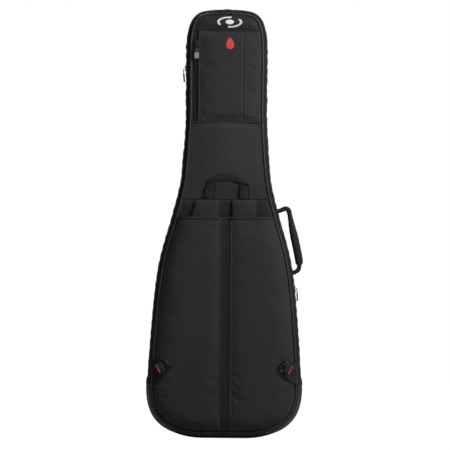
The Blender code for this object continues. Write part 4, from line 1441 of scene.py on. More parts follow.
def head_zip():
    """Zipper strip beside the head pocket: tape, coil, covering lip, slider and pull."""
    x0, x1, _, _, z0, z1 = box_mm("head_pocket_zip")
    middle = (x0 + x1) / 2
    z = np.linspace(z0 - 2, z1 + 6, 70)
    bm = bmesh.new()
    for offset in (-3.4, 3.4):
        add_tube(bm, line_of(middle + offset, -55.5, z), band(5.2, 1.6))
    make("head_zip_tape", bm, TAPE, "shell", ["head_pocket_zip"])
    coil_line("head_zip_coil", (middle, PAD_FACE, z0), (middle, PAD_FACE, z1), REARWARD, "shell")
    lip = line_of(HEAD_X0 + 0.8, -58.0, np.linspace(HEAD_Z0 + 2, HEAD_Z1 - 3, 70))
    tube("head_pocket_lip", lip, rounded(3.6, 3.2, 1.4), BINDING)
    x0, x1, _, y1, z0, z1 = box_mm("head_zip_slider")
    slider("head_slider", "head_zip_slider", ((x0 + x1) / 2, y1, (z0 + z1) / 2), (0, 0, 1),
           REARWARD, width=9.2, length=12.0, height=4.0)
    x0, x1, _, _, z0, z1 = box_mm("head_zip_pull")
    pull("head_pull", "head_zip_pull", ((x0 + x1) / 2, -63.8, z1 - 0.5), (0, 0, -1), REARWARD,
         length=z1 - z0 - 0.5, grip_length=25.0, width=10.6, thickness=3.6, insert=0.58)


def surface_of(X, Y, Z, lift=0.15):
    """Function giving y near (x, z) on a scattered surface, less lift."""
    x_all, y_all, z_all = X.ravel(), Y.ravel(), Z.ravel()

    def surface(x, z):
        squares = (x_all - x) ** 2 + (z_all - z) ** 2
        near = np.argsort(squares)[:4]
        weights = 1 / (squares[near] + 0.5)
        return float((y_all[near] * weights).sum() / weights.sum()) - lift
    return surface


def satin(name, outlines, surface, height, material):
    """Raised satin-stitch shapes from outlines in x, z."""
    bm = bmesh.new()
    for outline in outlines:
        mid_x, mid_z = np.mean(np.array(outline), axis=0)
        # size and share of the height of each level, from the edge to the top
        skin(bm, [[(mid_x + (x - mid_x) * size, surface(x, z) - height * share,
                    mid_z + (z - mid_z) * size) for x, z in outline]
                  for size, share in ((1.0, 0.0), (1.0, 0.45), (0.90, 0.85), (0.70, 1.0))])
    make(name, bm, material, "shell", smooth=60)


def embroidery(head):
    """An open ring round a plain oval on the cap, and a single drop on the pocket."""
    points = np.array([v.co for v in HEAD_CAP.data.vertices]) / MM
    points = points[points[:, 1] < REAR - 1.0]
    mid_x, mid_z = 6.0, 1026.3
    shapes = []
    for k in range(40):
        start, end = 2 * PI * k / 40, 2 * PI * (k + 1) / 40
        if abs(math.cos(start - 0.9)) > 0.93:
            continue  # one of the two openings
        corners = ((start, 1.0, 1.0), (end, 1.0, 1.0), (end, 0.81, 0.71), (start, 0.81, 0.71))
        shapes.append([(mid_x + 31 * wide * math.cos(angle), mid_z + 13.8 * tall * math.sin(angle))
                       for angle, wide, tall in corners])
    angles = [2 * PI * k / 24 for k in range(24)]
    shapes.append([(mid_x + 10.5 * math.cos(a), mid_z + 6.0 * math.sin(a)) for a in angles])
    satin("head_emblem", shapes, surface_of(*points.T), 1.5, WHITE)
    drop = []
    radius, stretch = 10.0, 1.85
    for k in range(22):
        angle = 2 * PI * k / 22
        x, z = radius * math.sin(angle), radius * math.cos(angle)
        if z > 0:
            z = z * stretch
            x = x * (1 - (z / (radius * stretch)) ** 1.3 * 0.25)
        drop.append((7.5 + x, 969.5 + z))
    satin("rain_mark", [drop], surface_of(*head), 0.7, RED)


def head_seams():
    """Seam between cap and pocket, and the doubled seam under the pocket."""
    for name, z in (("cap_seam_binding", 1006.2), ("pocket_seam_binding", 779.6)):
        half = half_width(z) - 15.4
        x = np.linspace(-half, half, 60)
        path = line_of(x, PAD_FACE - 1.4 * (1 - (x / half) ** 4), z + 0.25 * np.sin(x / 9))
        tube(name, path, rounded(3.4, 3.6, 1.5), BINDING)
    half = half_width(774.0) - 16.4
    x = np.linspace(-half, half, 60)
    y = -54.9 - 1.8 * (1 - (x / half) ** 4)
    path = line_of(x, y, 773.6 + 0.2 * np.sin(x / 8))
    tube("pocket_seam_tape", path, rounded(4.6, 2.0, 0.8), BINDING)
    stitches("head_seam_stitching", [path + (0, -1.1, 0.1), line_of(x * 0.93, y - 3.6, 1011.5)])


def rain_cover():
    """Folded rain cover, stowed inside the head pocket."""
    x0, x1, _, _, z0, z1 = box_mm("rain_cover")
    X, Z = np.meshgrid(np.linspace(x0, x1, 30), np.linspace(z0, z1, 40))
    edge = np.minimum(np.minimum(X - x0, x1 - X), np.minimum(Z - z0, z1 - Z))
    edge = np.maximum(edge, 0)
    creases = np.abs(uneven(X, Z, seed=2.2, scale=45)) * ease(2, 10, edge)
    Y = -57.0 - crown(edge, 2.6, 14) - 0.7 * creases
    sheet("rain_cover_bundle", X, Y, Z, -55.0, RAIN_NYLON, replaces=["rain_cover"])


HEAD_PAD = head_pocket()
head_zip()
embroidery(HEAD_PAD)
head_seams()
rain_cover()

# =====================================================================================
# yoke and shoulder straps
# =====================================================================================


def yoke():
    """Band across the rear above the stow pockets, with a welt on its upper edge."""
    X, Z, edge = full_patch(20.0, 40, 12, 545.0, 590.0)
    Y = -55.2 - crown(edge, 1.2, 5) + 0.35 * uneven(X, Z, seed=5.5, scale=30)
    Y -= ridges(X, Z, [((-100, 588), (-80, 552), 5, 0.9), ((66, 584), (92, 556), 5, 0.8),
                       ((-16, 586), (-8, 552), 4, 0.7)])
    sheet("yoke_panel", X, Y, Z, -54.2, RIPSTOP, replaces=["strap_yoke"])
    x0, x1 = box_mm("yoke_welt")[:2]
    x = np.linspace(x0 - 4, x1 + 4, 70)
    path = line_of(x, -56.0 - 0.9 * (1 - (x / 105) ** 4), 592.2 + 0.3 * np.sin(x / 11))
    tube("yoke_welt_binding", path + (0, 0.9, 0), rounded(3.6, 1.6, 0.7), NYLON,
         replaces=["yoke_welt"])
    # the row is broken where the grab handle's legs cross it
    lines = [(path + (0, -0.6, 0.4))[(x > low) & (x < high)]
             for low, high in ((-200, -57), (-24, 31), (63, 200))]
    stitches("yoke_stitching", lines + [line_of(x * 0.97, -57.0, 583.0)])


# middle and width at the top, then 44 mm further down
STRAP_SHAPES = {"left": ((-43.0, 57.0), (-50.5, 67.0)), "right": ((46.5, 57.5), (46.5, 59.5))}


def shoulder_strap(tag, sign):
    """Padded strap: a crowned face, two bound edges and a stitch row along each."""
    node = "shoulder_strap_" + tag
    x0, x1, _, _, bottom, top = box_mm(node)
    (top_x, top_width), (low_x, low_width) = STRAP_SHAPES[tag]
    z = np.linspace(top - 0.5, bottom, 96)
    down = top - z
    upper = np.clip(down / 44.0, 0, 1)
    lower = ease(0, 1, (down - 44.0) / 150.0)
    middle = top_x + (low_x - top_x) * upper + ((x0 + x1) / 2 - low_x) * lower
    width = top_width + (low_width - top_width) * upper + (58.0 - low_width) * lower
    across = np.linspace(-1, 1, 27)
    X = middle[:, None] + across[None] * width[:, None] / 2
    Z = np.broadcast_to(z[:, None], X.shape)
    section = crown((1 - np.abs(across)) * 30, 5.0, 6.0, 2.2) + 2.4 * (1 - across ** 2)
    base = -56.5 - 3.0 * ease(0, 12, down)
    Y = base[:, None] - section[None] * (0.35 + 0.65 * ease(0, 10, down)[:, None])
    Y = Y + 0.9 * bell(np.abs(across)[None] - 0.76, 0.05)
    Y = Y - 0.25 * uneven(X, Z, seed=7.7 + sign, scale=35)
    Y = np.maximum(Y, -67.5)
    sheet("strap_pad_" + tag, X, Y, Z, base[:, None] + 0.8, STRAP_FACE, replaces=[node])
    for column, edge in ((0, "inner"), (-1, "outer")):
        tube("strap_binding_%s_%s" % (tag, edge), line_of(X[:, column], base - 1.3, z),
             rounded(3.6, 3.8, 1.6), BINDING)
    columns = [int(np.argmin(np.abs(across - u))) for u in (-0.76, 0.76)]
    stitches("strap_stitching_" + tag,
             [trace((X, Y, Z), slice(2, 40), column, -0.15) for column in columns])


def ladder_lock(tag):
    """Frame with two cross bars and two lugs that lean back to the webbing."""
    node = "ladder_lock_" + tag
    x0, x1, _, _, z0, z1 = box_mm(node)
    x, z = (x0 + x1) / 2, (z0 + z1) / 2
    half, tall = (x1 - x0) / 2 - 1.8, (z1 - z0) / 2 - 1.8
    bm = bmesh.new()
    frame = chaikin([(-half, -tall), (half, -tall), (half * 0.92, tall), (-half * 0.92, tall)],
                    3, ratio=0.16)
    add_tube(bm, [(x + a, -66.0, z + c) for a, c in frame], rounded(3.4, 2.2, 1.0), closed=True)
    for rise, y in ((-tall * 0.15, -66.3), (tall * 0.55, -65.9)):
        add_tube(bm, [(x + a, y, z + rise) for a in (-half, 0, half)], rounded(3.0, 1.9, 0.9))
    for sign in (-1, 1):
        lug = x + sign * (half + 0.4)
        add_tube(bm, [(lug, -66.0, z - tall), (lug, -62.0, z), (lug, -60.4, z + tall * 0.4)],
                 rounded(2.0, 1.7, 0.8, 2), (1, 0, 0))
    make("ladder_frame_" + tag, bm, ACETAL, node, [node], smooth=40)


def snap_hook(tag):
    """Flat eye, shank, hook and gate."""
    node = "snap_hook_" + tag
    x0, x1, y0, y1, z0, z1 = box_mm(node)
    x, y = (x0 + x1) / 2, (y0 + y1) / 2
    bm = bmesh.new()
    eye = [(x + 6.2 * math.cos(a), y, z1 - 4.2 + 2.6 * math.sin(a))
           for a in np.linspace(0, 2 * PI, 24)[:-1]]
    add_tube(bm, eye, rounded(2.4, 2.6, 1.1), closed=True)
    hook = [(0, z1 - 7), (0.2, z1 - 14), (3.0, z1 - 18), (5.4, z1 - 24), (5.0, z1 - 31),
            (1.2, z0 + 2.1), (-3.4, z0 + 3.0), (-5.6, z0 + 7.5), (-5.2, z0 + 12)]
    add_tube(bm, [(x + a, y, c) for a, c in resample(chaikin(hook, 2, False), 34)],
             lambda i, share: circle(2.1 - 0.5 * share, 10))
    gate = [(x - 5.0, y, z0 + 12.4), (x - 4.0, y, z1 - 20), (x - 0.6, y, z1 - 13.2)]
    add_tube(bm, gate, rounded(2.0, 2.4, 0.8, 2))
    add_tube(bm, [(x, y, z1 - 6.4), (x, y, z1 - 11.0)], circle(2.15))
    make("hook_" + tag, bm, RING_METAL, node, [node], smooth=40)


def strap_webbing(tag):
    x0, x1, _, _, z0, z1 = box_mm("strap_webbing_" + tag)
    z = np.linspace(z1, z0, 40)
    path = line_of((x0 + x1) / 2 + 0.4 * np.sin(z / 17), -63.2 + 0.25 * np.sin(z / 11), z)
    tube("strap_web_" + tag, path, band(20, 1.6), WEBBING, replaces=["strap_webbing_" + tag])


yoke()
for tag, sign in SIDES:
    shoulder_strap(tag, sign)
for tag, sign in SIDES:
    strap_webbing(tag)
    ladder_lock(tag)
    snap_hook(tag)

# =====================================================================================
# handles and hang loop
# =====================================================================================
# grab handle legs: tag, line up the leg, width at the foot, narrowing towards the grip
GRAB_LEGS = (
    ("left", [(-41.5, -58.8, 592), (-39.5, -59.6, 606), (-35.5, -60.6, 626),
              (-31.5, -61.2, 637)], 25.0, 6.0),
    ("right", [(46.5, -58.8, 591), (46.8, -59.6, 604), (46.6, -60.6, 620),
               (45.5, -61.2, 631)], 24.0, 4.5))


def grab_handle():
    """Two webbing legs into a padded half-moon grip."""
    body = "grab_handle"
    legs = {tag: resample(chaikin(line, 2, False), 24) for tag, line, _, _ in GRAB_LEGS}
    bm = bmesh.new()
    for tag, _, width, narrowing in GRAB_LEGS:
        add_tube(bm, legs[tag], lambda i, share: band(width - narrowing * share, 2.6))
    make("grab_handle_legs", bm, DARK_WEBBING, body, ["grab_handle_webbing"])
    for tag, _, width, narrowing in GRAB_LEGS:
        side = np.cross(np.gradient(legs[tag], axis=0), REARWARD)
        side /= np.linalg.norm(side, axis=1)[:, None]
        half = np.linspace(width, width - narrowing, len(side))[:, None] / 2
        for edge, sign in (("inner", 1), ("outer", -1)):
            path = legs[tag] + side * half * sign * 0.94 + (0, -0.5, 0)
            tube("grab_handle_edge_%s_%s" % (tag, edge), path, rounded(2.6, 3.4, 1.0), TAPE, body)

    # half-moon pad: its lower edge bows up between two end points
    (x0, z0), (x1, z1) = (-44.5, 634.0), (56.0, 627.0)
    across = np.linspace(0, 1, 49)
    up = np.linspace(0, 1, 17)[:, None]
    bow = np.abs(np.sin(PI * across))
    X = x0 + (x1 - x0) * across + 1.5 * up * (0.5 - across)
    Z = z0 + (z1 - z0) * across + 6.5 * bow + (19.5 * bow ** 0.8 + 2.6) * up
    edge = edge_distance(X, Z)
    middle = -60.4
    Y = middle - crown(edge, 5.0, 8.0, 2.0) - 0.3 * uneven(X, Z, seed=1.9, scale=60)
    sheet("grab_handle_pad", X, Y, Z, middle + crown(edge, 3.6, 8.0, 2.0), DARK_NYLON, body,
          ["grab_handle_wrap"])
    # dark tape seam along the pad's lower edge, wide and black: a real seam that also paints the
    # shadow under the grip
    tube("grab_handle_seam_shadow", line_of(X[0], -61.0, Z[0] - 0.2), rounded(5.2, 6.4, 2.0), TAPE, body)
    rows = [trace((X, Y, Z), row, slice(4, -4), -0.15) for row in (-3, 3)]
    stitches("grab_handle_stitching", rows, body, pitch=3.4, length=2.4, radius=0.36)

    # crossed box stitches where the legs are sewn into the welt
    half, low, high = 9.0, 599, 609
    lines = []
    for x in (-40.5, 46.6):
        for start, end in (((-half, low), (half, low)), ((-half, high), (half, high)),
                           ((-half, low), (half, high)), ((-half, high), (half, low))):
            lines.append([(x + dx, -60.5 - 0.06 * (z - 596), z) for dx, z in (start, end)])
    stitches("grab_handle_box_stitch", lines, body, pitch=2.8, length=2.0, radius=0.3)


SIDE_HANDLE_Y = -22.0
# centre lines down the right side: x, z
SIDE_STRAP = [(139.2, 565.6), (149.0, 569.6), (156.0, 566.0), (158.6, 556.0), (160.6, 540.0),
              (164.8, 515.0), (171.0, 490.0), (177.0, 465.0), (181.2, 446.0), (183.6, 431.0),
              (182.4, 419.5), (177.8, 413.4)]
SIDE_GRIP = [(152.6, 564.8), (156.4, 561.8), (159.4, 551.0), (161.4, 540.0), (166.2, 515.0),
             (172.2, 490.0), (178.0, 465.0), (182.2, 445.0), (183.8, 430.0)]


def planar_up(path):
    """Up vectors square to a path that lies in the XZ plane."""
    tangent = np.gradient(path, axis=0)
    up = np.stack([-tangent[:, 2], 0 * tangent[:, 0], tangent[:, 0]], 1)
    return up / np.linalg.norm(up, axis=1)[:, None]


def folded_strap(i, share):
    """Webbing folded round a cord, so it is nearly as thick as it is wide."""
    size = min(1.0, 0.80 + share * 5.0, 0.80 + (1 - share) * 5.0)
    height = 5.9 - 0.3 * share

    def squared(value):
        return math.copysign(abs(value) ** 0.75, value)
    angles = [2 * PI * q / 20 for q in range(20)]
    return [(6.6 * size * squared(math.cos(a)), height * size * squared(math.sin(a)))
            for a in angles]


def wrapped_grip(i, share):
    """Round grip with a shallow spiral wrap and closed-in ends."""
    end = min(1.0, (1 - share) / 0.075)
    size = min(1.0, 0.56 + 0.44 * ease(0, 0.55, share),
               0.58 + 0.42 * math.sqrt(max(0.0, 1 - (1 - end) ** 2)))
    profile = []
    for k in range(28):
        angle = 2 * PI * k / 28
        wrap = 0.45 * (abs((angle / (2 * PI) + share * 8.5) % 1 - 0.5) * 2) ** 0.5
        radius = 9.9 * size * (1 + 0.02 * math.sin(3 * angle + 7 * share)) + wrap - 0.3
        profile.append((radius * math.cos(angle), radius * math.sin(angle)))
    return profile


def side_handle():
    """Carry handle on the right side wall."""
    body, y = "side_handle", SIDE_HANDLE_Y
    line = resample(chaikin(SIDE_STRAP, 3, False), 110)
    path = line_of(line[:, 0], y, line[:, 1])
    # pull both ends into the wall
    reach = np.array([[1.0], [0.6], [0.25]])
    path[:3] += (np.array([133.4, y, 563.2]) - path[0]) * reach
    path[-3:] += (np.array([172.4, y, 411.2]) - path[-1]) * reach[::-1]
    tube("side_handle_strap", path, folded_strap, DARK_WEBBING, body, ["side_handle_webbing"],
         outward=planar_up(path))
    line = resample(chaikin(SIDE_GRIP, 2, False), 90)
    path = line_of(line[:, 0], y, line[:, 1])
    tube("side_handle_wrap", path, wrapped_grip, DARK_NYLON, body, ["side_handle_grip"],
         planar_up(path), smooth=70)
    for tag, part in (("top", path[1:6]), ("bottom", path[-6:-1])):
        tube("side_handle_collar_" + tag, part, circle(5.4, 24), BINDING, body,
             outward=planar_up(part))
    for tag, start, end in (("top", (124.5, 560.4), (136.0, 564.1)),
                            ("bottom", (163.6, 409.9), (174.6, 411.9))):
        ends = np.array([start, end])
        x, z = np.array([ends[0], ends.mean(0), ends[1]]).T
        tube("side_anchor_" + tag, line_of(x, y, z), rounded(20, 11.0, 3.0), DARK_WEBBING,
             replaces=["side_handle_anchor_" + tag], outward=(0, 0, 1))


def hang_loop():
    x0, x1, _, _, z0, z1 = box_mm("hang_loop")
    line = [(x0 + 2, z0), (x0 + 2, z1 - 4), (x0 + 6, z1 - 1.5), (x1 - 6, z1 - 1.5),
            (x1 - 2, z1 - 4), (x1 - 2, z0)]
    x, z = resample(chaikin(line, 3, False), 44).T
    tube("hang_loop_tape", line_of(x, -58.5, z), band(6.4, 1.9), WEBBING, "hang_loop",
         ["hang_loop"])


grab_handle()
side_handle()
hang_loop()

# =====================================================================================
# D-ring anchors, shaped on the right side and mirrored for the left
# =====================================================================================
RING_ALONG = np.array([0.468, 0, 0.884])     # along the ring's straight bar
RING_AWAY = np.array([-0.884, 0, 0.468])     # from the bar towards the ring's bow
RING_BAR = np.array([152.3, -78.2, 177.4])   # middle of the bar


def anchor_patch(tag, sign):
    """Tapering cloth patch from the side wall to the ring, with dark taped edges that also paint
    its shadow lines.
    """
    wall = np.array([[175.2, -58.0, 194.0], [176.6, -58.0, 134.0]])
    tucked = wall + np.array([[6.5, 6.5, 4], [6.5, 6.5, -4]])
    middle = np.array([[165.0, -67.6, 189.0], [162.0, -67.6, 143.0]])
    end = np.array([RING_BAR - 3.6 * RING_AWAY + 12 * RING_ALONG,
                    RING_BAR - 3.6 * RING_AWAY - 12 * RING_ALONG])
    end[:, 1] = -77.4
    end[1] += np.array([-2.6, 0.6, -7.5])
    upper, lower = (resample(chaikin([row[e] for row in (tucked, wall, middle, end)], 2, False),
                             22) for e in (0, 1))
    share = np.linspace(0, 1, 15)[None, :, None]
    outer = upper[:, None] * (1 - share) + lower[:, None] * share
    outer[..., 1] -= 0.9 * np.sin(PI * share[..., 0]) * np.linspace(1, 0.1, 23)[:, None]
    thickness = 1.9
    inner = outer - np.array([0.45, -0.88, 0]) * thickness
    flip = np.array([sign, 1, 1])
    outer, inner = outer * flip, inner * flip
    bm = slab(outer, inner, lambda x, y, z: (x * 0.88 - z * 0.47, x * 0.47 + z * 0.88))
    make("anchor_patch_" + tag, bm, DARK_NYLON, "shell", ["anchor_tab_" + tag],
         smooth=50)
    # dark tapes on the upper and lower edges: real edge binding, kept black as painted shadow
    # along the raised patch
    for edge, column in (("upper", 0), ("lower", -1)):
        tube("anchor_shadow_edge_%s_%s" % (edge, tag), outer[3:-3, column] + (0, -0.2, 0),
             rounded(3.4, 3.0, 1.2), TAPE)


def anchor_carrier(tag, sign):
    """Webbing looped round the ring's bar, with a red bar tack."""
    bend = 3.1
    path = [RING_BAR + RING_AWAY * q + (0, -1.9, 0) for q in (-13, -9, -5, -3.4)]
    for angle in np.radians(np.linspace(-90, 90, 9)):
        path.append(RING_BAR + RING_AWAY * bend * math.cos(angle)
                    + (0, bend * math.sin(angle), 0))
    path += [RING_BAR + RING_AWAY * q + (0, 3.0, 0) for q in (-4, -8, -12)]
    path = np.array(path) * (sign, 1, 1)
    up = np.cross(np.gradient(path, axis=0), RING_ALONG * (sign, 1, 1))
    up /= np.linalg.norm(up, axis=1)[:, None]
    tube("anchor_carrier_" + tag, path, band(23, 1.5), WEBBING, replaces=["anchor_loop_" + tag],
         outward=up)
    tacks = []
    for k in range(19):
        centre = RING_BAR - RING_AWAY * 11.6 + RING_ALONG * (-10.4 + 20.8 * k / 18)
        ends = np.array([centre - RING_AWAY * 1.9, centre + RING_AWAY * 1.9]) * (sign, 1, 1)
        ends[:, 1] = (-80.05, -80.7)
        tacks.append(ends)
    stitches("bar_tack_" + tag, tacks, material=RED, pitch=3.9, length=3.9, radius=0.62)


def d_ring(tag, sign):
    half, depth, wire = 12.6, 15.6, 2.1
    bow = half + 0.4
    loop = [(-half, 0), (-half * 0.5, 0), (0, 0), (half * 0.5, 0), (half, 0), (bow, depth * 0.35)]
    for angle in np.radians(np.linspace(-8, 188, 17)):
        loop.append((bow * math.cos(angle), depth * 0.42 + depth * 0.58 * math.sin(angle)))
    loop.append((-bow, depth * 0.35))
    path = np.array([RING_BAR + RING_ALONG * a + RING_AWAY * c + (0, -0.2, 0)
                     for a, c in chaikin(loop, 1)]) * (sign, 1, 1)
    tube("ring_" + tag, path, circle(wire), RING_METAL, "d_ring_" + tag, ["d_ring_" + tag],
         closed=True, smooth=60)


for tag, sign in SIDES:
    anchor_patch(tag, sign)
    anchor_carrier(tag, sign)
    d_ring(tag, sign)

# =====================================================================================
# lid
# =====================================================================================
FRONT_SKIN_WRINKLES = [
    ((-80, 700), (-52, 660), 6, 0.9), ((60, 640), (96, 600), 6, 0.9),
    ((-60, 900), (-30, 880), 6, 0.6), ((-150, 180), (-120, 140), 7, 0.9),
    ((110, 150), (150, 186), 7, 0.9), ((30, 60), (80, 44), 6, 0.8)]
FRONT_SEAMS = (600.0, 1002.0)  # z of the two seams across the skin
FRONT_POCKET_WRINKLES = [
    ((-120, 230), (-84, 262), 8, 1.2), ((84, 262), (120, 230), 8, 1.2),
    ((-110, 500), (-70, 480), 7, 0.9), ((60, 486), (108, 504), 7, 0.9),
    ((-20, 214), (30, 222), 6, 0.9)]


def front_skin():
    X, Z, edge = full_patch(PANEL_INSET, 44, 132)
    Y = FRONT - 0.4 + crown(edge, 1.3, 6) + 2.6 * cross_dome(X, Z) ** 0.8 * ease(0, 16, edge)
    Y += 0.45 * uneven(X, Z, seed=9.4, scale=13) + ridges(X, Z, FRONT_SKIN_WRINKLES)
    for seam in FRONT_SEAMS:
        Y -= 0.9 * bell(Z - seam, 1.6)
    skin_sheet = sheet("front_skin", X, Y, Z, 38.4, NYLON, None,
                       ["front_panel", "front_panel_lower"])
    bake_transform(skin_sheet)
    surface = surface_of(X, Y, Z, lift=-0.1)
    lines = []
    for z in [seam + offset for seam in FRONT_SEAMS for offset in (-4, 4)]:
        half = half_width(z) - 17.5
        lines.append([(x, surface(x, z), z) for x in np.linspace(-half, half, 46)])
    stitches("front_panel_stitching", lines, "lid", outward=FORWARD)


def front_edge():
    """Side wall and piping of the front half."""
    profile = circle(PIPING_RADIUS, centre=(PIPING_INSET, FRONT + PIPING_RISE))
    cord = sweep_outline("front_piping_cord", ring_path(), profile, PIPING, None, piping_wave,
                         ["front_piping", "front_piping_lower"])
    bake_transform(cord)
    sweep_outline("front_piping_flange", upper_path(FRONT_WALL_START), chaikin(FRONT_FLANGE, 1),
                  BINDING, "lid", piping_wave)
    sweep_outline("front_side_wall", upper_path(FRONT_WALL_START), chaikin(FRONT_WALL, 1),
                  SHADED_WALL_NYLON, "lid", wall_wave, ["front_gusset"])


def lining(name, face_y, back_y, node, body, low):
    """Plush sheet with quilting lines; its face looks into the bag."""
    X, Z, edge = full_patch(18.0, 30, 90, low)
    inward = 1 if face_y > back_y else -1
    relief = -0.8 + crown(edge, 1.6, 8) + 0.35 * uneven(X, Z, seed=2.9, scale=20)
    for z in np.arange(200, 1000, 90):
        relief = relief - 0.55 * bell(Z - z, 2.2)
    sheet(name, X, face_y + inward * relief, Z, back_y, PLUSH, body, [node])


def neck_rest():
    """Foam cradle with a channel for the neck, and the soft strap across it."""
    _, x1, y0, y1, z0, z1 = box_mm("neck_cradle")
    right = [(x1, y0), (x1, y1 - 3), (x1 - 4, y1), (31, y1), (28, y1 - 3), (25, -24),
             (16, -29.8)]
    section = [(-x1, y0)] + right + [(-x, y) for x, y in right[:0:-1]]
    section = chaikin(section, 2, ratio=0.22)
    mid_x, mid_y = section.mean(axis=0)

    def cradle(i, share):
        size = 1 - 0.05 * max(0.0, abs(2 * share - 1) - 0.8) / 0.2
        return [((x - mid_x) * size + mid_x, -((y - mid_y) * size + mid_y)) for x, y in section]

    tube("neck_rest", line_of(0, 0, np.linspace(z0, z1, 30)), cradle, FOAM_PLUSH,
         replaces=["neck_cradle"], smooth=60)
    x0, x1, y0, y1, z0, z1 = box_mm("neck_strap")
    x = np.linspace(x0, x1, 40)
    tube("neck_clamp_strap", line_of(x, (y0 + y1) / 2 + 0.2 * np.sin(x / 9), (z0 + z1) / 2),
         band(z1 - z0, 1.7), WEBBING, replaces=["neck_strap"], outward=FORWARD)


def end_pad():
    """Foam block inside the bottom."""
    _, x1, y0, y1, z0, z1 = box_mm("end_block")

    def block(i, share):
        size = 1 - 0.06 * (abs(2 * share - 1) ** 3)
        return [(a * size, (b - (y0 + y1) / 2) * size)
                for a, b in rounded(2 * x1 - 1, y1 - y0 - 1, 7, 6)]

    tube("end_pad", line_of(0, 0, np.linspace(z0 + 0.1, z1, 14)), block, FOAM_PLUSH,
         replaces=["end_block"], smooth=60)


def front_pocket():
    """Pocket pad, its stitching and the binding round it."""
    X, Y, Z = inflated("front")
    gather = np.sin(2 * PI * (Z + X) / 8.8 + 2.0 * np.sin(Z / 29.0))
    Y = Y + 0.25 * bell(FRONT_EDGE - 8.0, 4.0) * gather
    Y = Y + 0.25 * uneven(X, Z, seed=5.2, scale=45) * ease(2, 10, FRONT_EDGE)
    Y = Y - 0.9 * bell(FRONT_EDGE - 4.0, 1.6) + ridges(X, Z, FRONT_POCKET_WRINKLES)
    sheet("front_pocket", X, Y, Z, Y - 2.4, NYLON, "lid", ["front_body_pocket"])
    pad, span = (X, Y, Z), slice(2, -2)
    lines = [trace(pad, 4, span, 0.15), trace(pad, -5, span, 0.15),
             trace(pad, span, 4, 0.15), trace(pad, span, -5, 0.15)]
    stitches("front_pocket_stitching", lines, "lid", outward=FORWARD)
    grid = np.stack(pad, -1)
    border = np.concatenate([grid[0], grid[1:, -1], grid[-1, -2::-1], grid[-2::-1, 0]])
    border[:, 1] = 52.2
    tube("front_pocket_binding", resample(border, 260)[:-1], rounded(3.2, 3.6, 1.4), BINDING,
         "lid", outward=FORWARD, closed=True)


def front_zip():
    """Zipper across the lid: tape, coil, covering lip, slider and pull."""
    x0, x1, _, _, z0, z1 = box_mm("front_pocket_zip")
    z = (z0 + z1) / 2
    x = np.linspace(x0 - 3, x1 + 3, 60)
    bulge = 1.6 * (1 - (x / 110) ** 2)
    bm = bmesh.new()
    for offset in (-3.6, 3.6):
        add_tube(bm, line_of(x, 51.6 + bulge, z + offset), band(5.6, 1.6), FORWARD)
    make("front_zip_tape", bm, TAPE, "lid", ["front_pocket_zip"])
    coil_line("front_zip_coil", (x0, 53.0, z), (x1, 53.0, z), FORWARD, "lid")
    tube("front_zip_lip", line_of(x, 53.0 + bulge, z + 8.6), rounded(4.4, 3.4, 1.5), BINDING,
         "lid", outward=FORWARD)
    x0, x1, y0, _, z0, z1 = box_mm("front_zip_slider")
    slider("front_slider", "front_zip_slider", ((x0 + x1) / 2, y0, (z0 + z1) / 2), (1, 0, 0),
           FORWARD, width=9.6, length=14, height=4.0)
    _, x1, _, _, z0, z1 = box_mm("front_zip_pull")
    pull("front_pull", "front_zip_pull", (x1 - 0.5, 59.6, (z0 + z1) / 2), (-1, 0, 0), FORWARD,
         length=33, grip_length=22, width=8.6, thickness=2.8, insert=0.5)


def main_zip_sliders():
    _, x1, _, _, z0, z1 = box_mm("main_zip_slider_left")
    slider("main_slider_left", "main_zip_slider_left", (x1, 0, (z0 + z1) / 2), (0, 0, 1),
           (-1, 0, 0), width=11.0, length=16.0, height=5.1)
    z0, z1 = box_mm("main_zip_pull_left")[4:]
    pull("main_pull_left", "main_zip_pull_left", (-107.6, 0, z1 - 0.4), (0.085, 0, -0.9964),
         (-0.9964, 0, -0.085), length=z1 - z0 - 0.6, grip_length=22, width=8.6, thickness=3.6)
    # the right slider lies on the slanting side of the body
    along, out = np.array([-0.114, 0, 0.9935]), np.array([0.9935, 0, 0.114])
    centre = np.array([173.2, 0, 371.0])
    slider("main_slider_right", "main_zip_slider_right", centre - out * 1.2, along, out,
           width=11.0, length=16.0, height=5.0)
    pull("main_pull_right", "main_zip_pull_right", centre + out * 5.2 - along * 0.6,
         -along * 0.9976 - out * 0.07, out * 0.9976 - along * 0.07, length=31,
         grip_length=22, width=8.6, thickness=3.4)


def zip_end_tab(tag, sign):
    """Fabric tab that closes an end of the main zipper."""
    stations = [row for row in OUTLINE if 116 <= row[1] <= 152 and row[0] > 100]
    outer = []
    for i, (x, z, out_x, out_z, _) in enumerate(stations):
        lift = 2.6 * math.sin(PI * i / (len(stations) - 1)) ** 0.6 + 0.4
        y_low, y_high = -12.0, 11.0 if z < 134 else -0.4
        row = []
        for share in np.linspace(0, 1, 15):
            bulge = lift * math.sin(PI * min(max(share, 0.03), 0.97)) ** 0.5 + 0.2
            row.append(((x + out_x * bulge) * sign, y_low + (y_high - y_low) * share,
                        z + out_z * bulge))
        outer.append(row)
    outer = np.array(outer)
    bm = slab(outer, outer - (2.2 * sign, 0, 0), lambda x, y, z: (y, z))
    make("zip_end_tab_" + tag, bm, DARK_NYLON, "shell", smooth=50)


front_skin()
front_edge()
zip_half("main_zip_front", 1, "lid", "main_zip_half_front")
lining("rear_plush", -39.7, -41.9, "rear_lining", "shell", low=-INF)
lining("lid_plush", 35.9, 38.2, "lid_lining", "lid", low=141.0)
neck_rest()
end_pad()
front_pocket()
front_zip()
main_zip_sliders()
for tag, sign in SIDES:
    zip_end_tab(tag, sign)

# =====================================================================================
# stage, lights, camera (metres)
# =====================================================================================
AMBIENT = 0.07  # world light on the bag; the camera itself sees full white


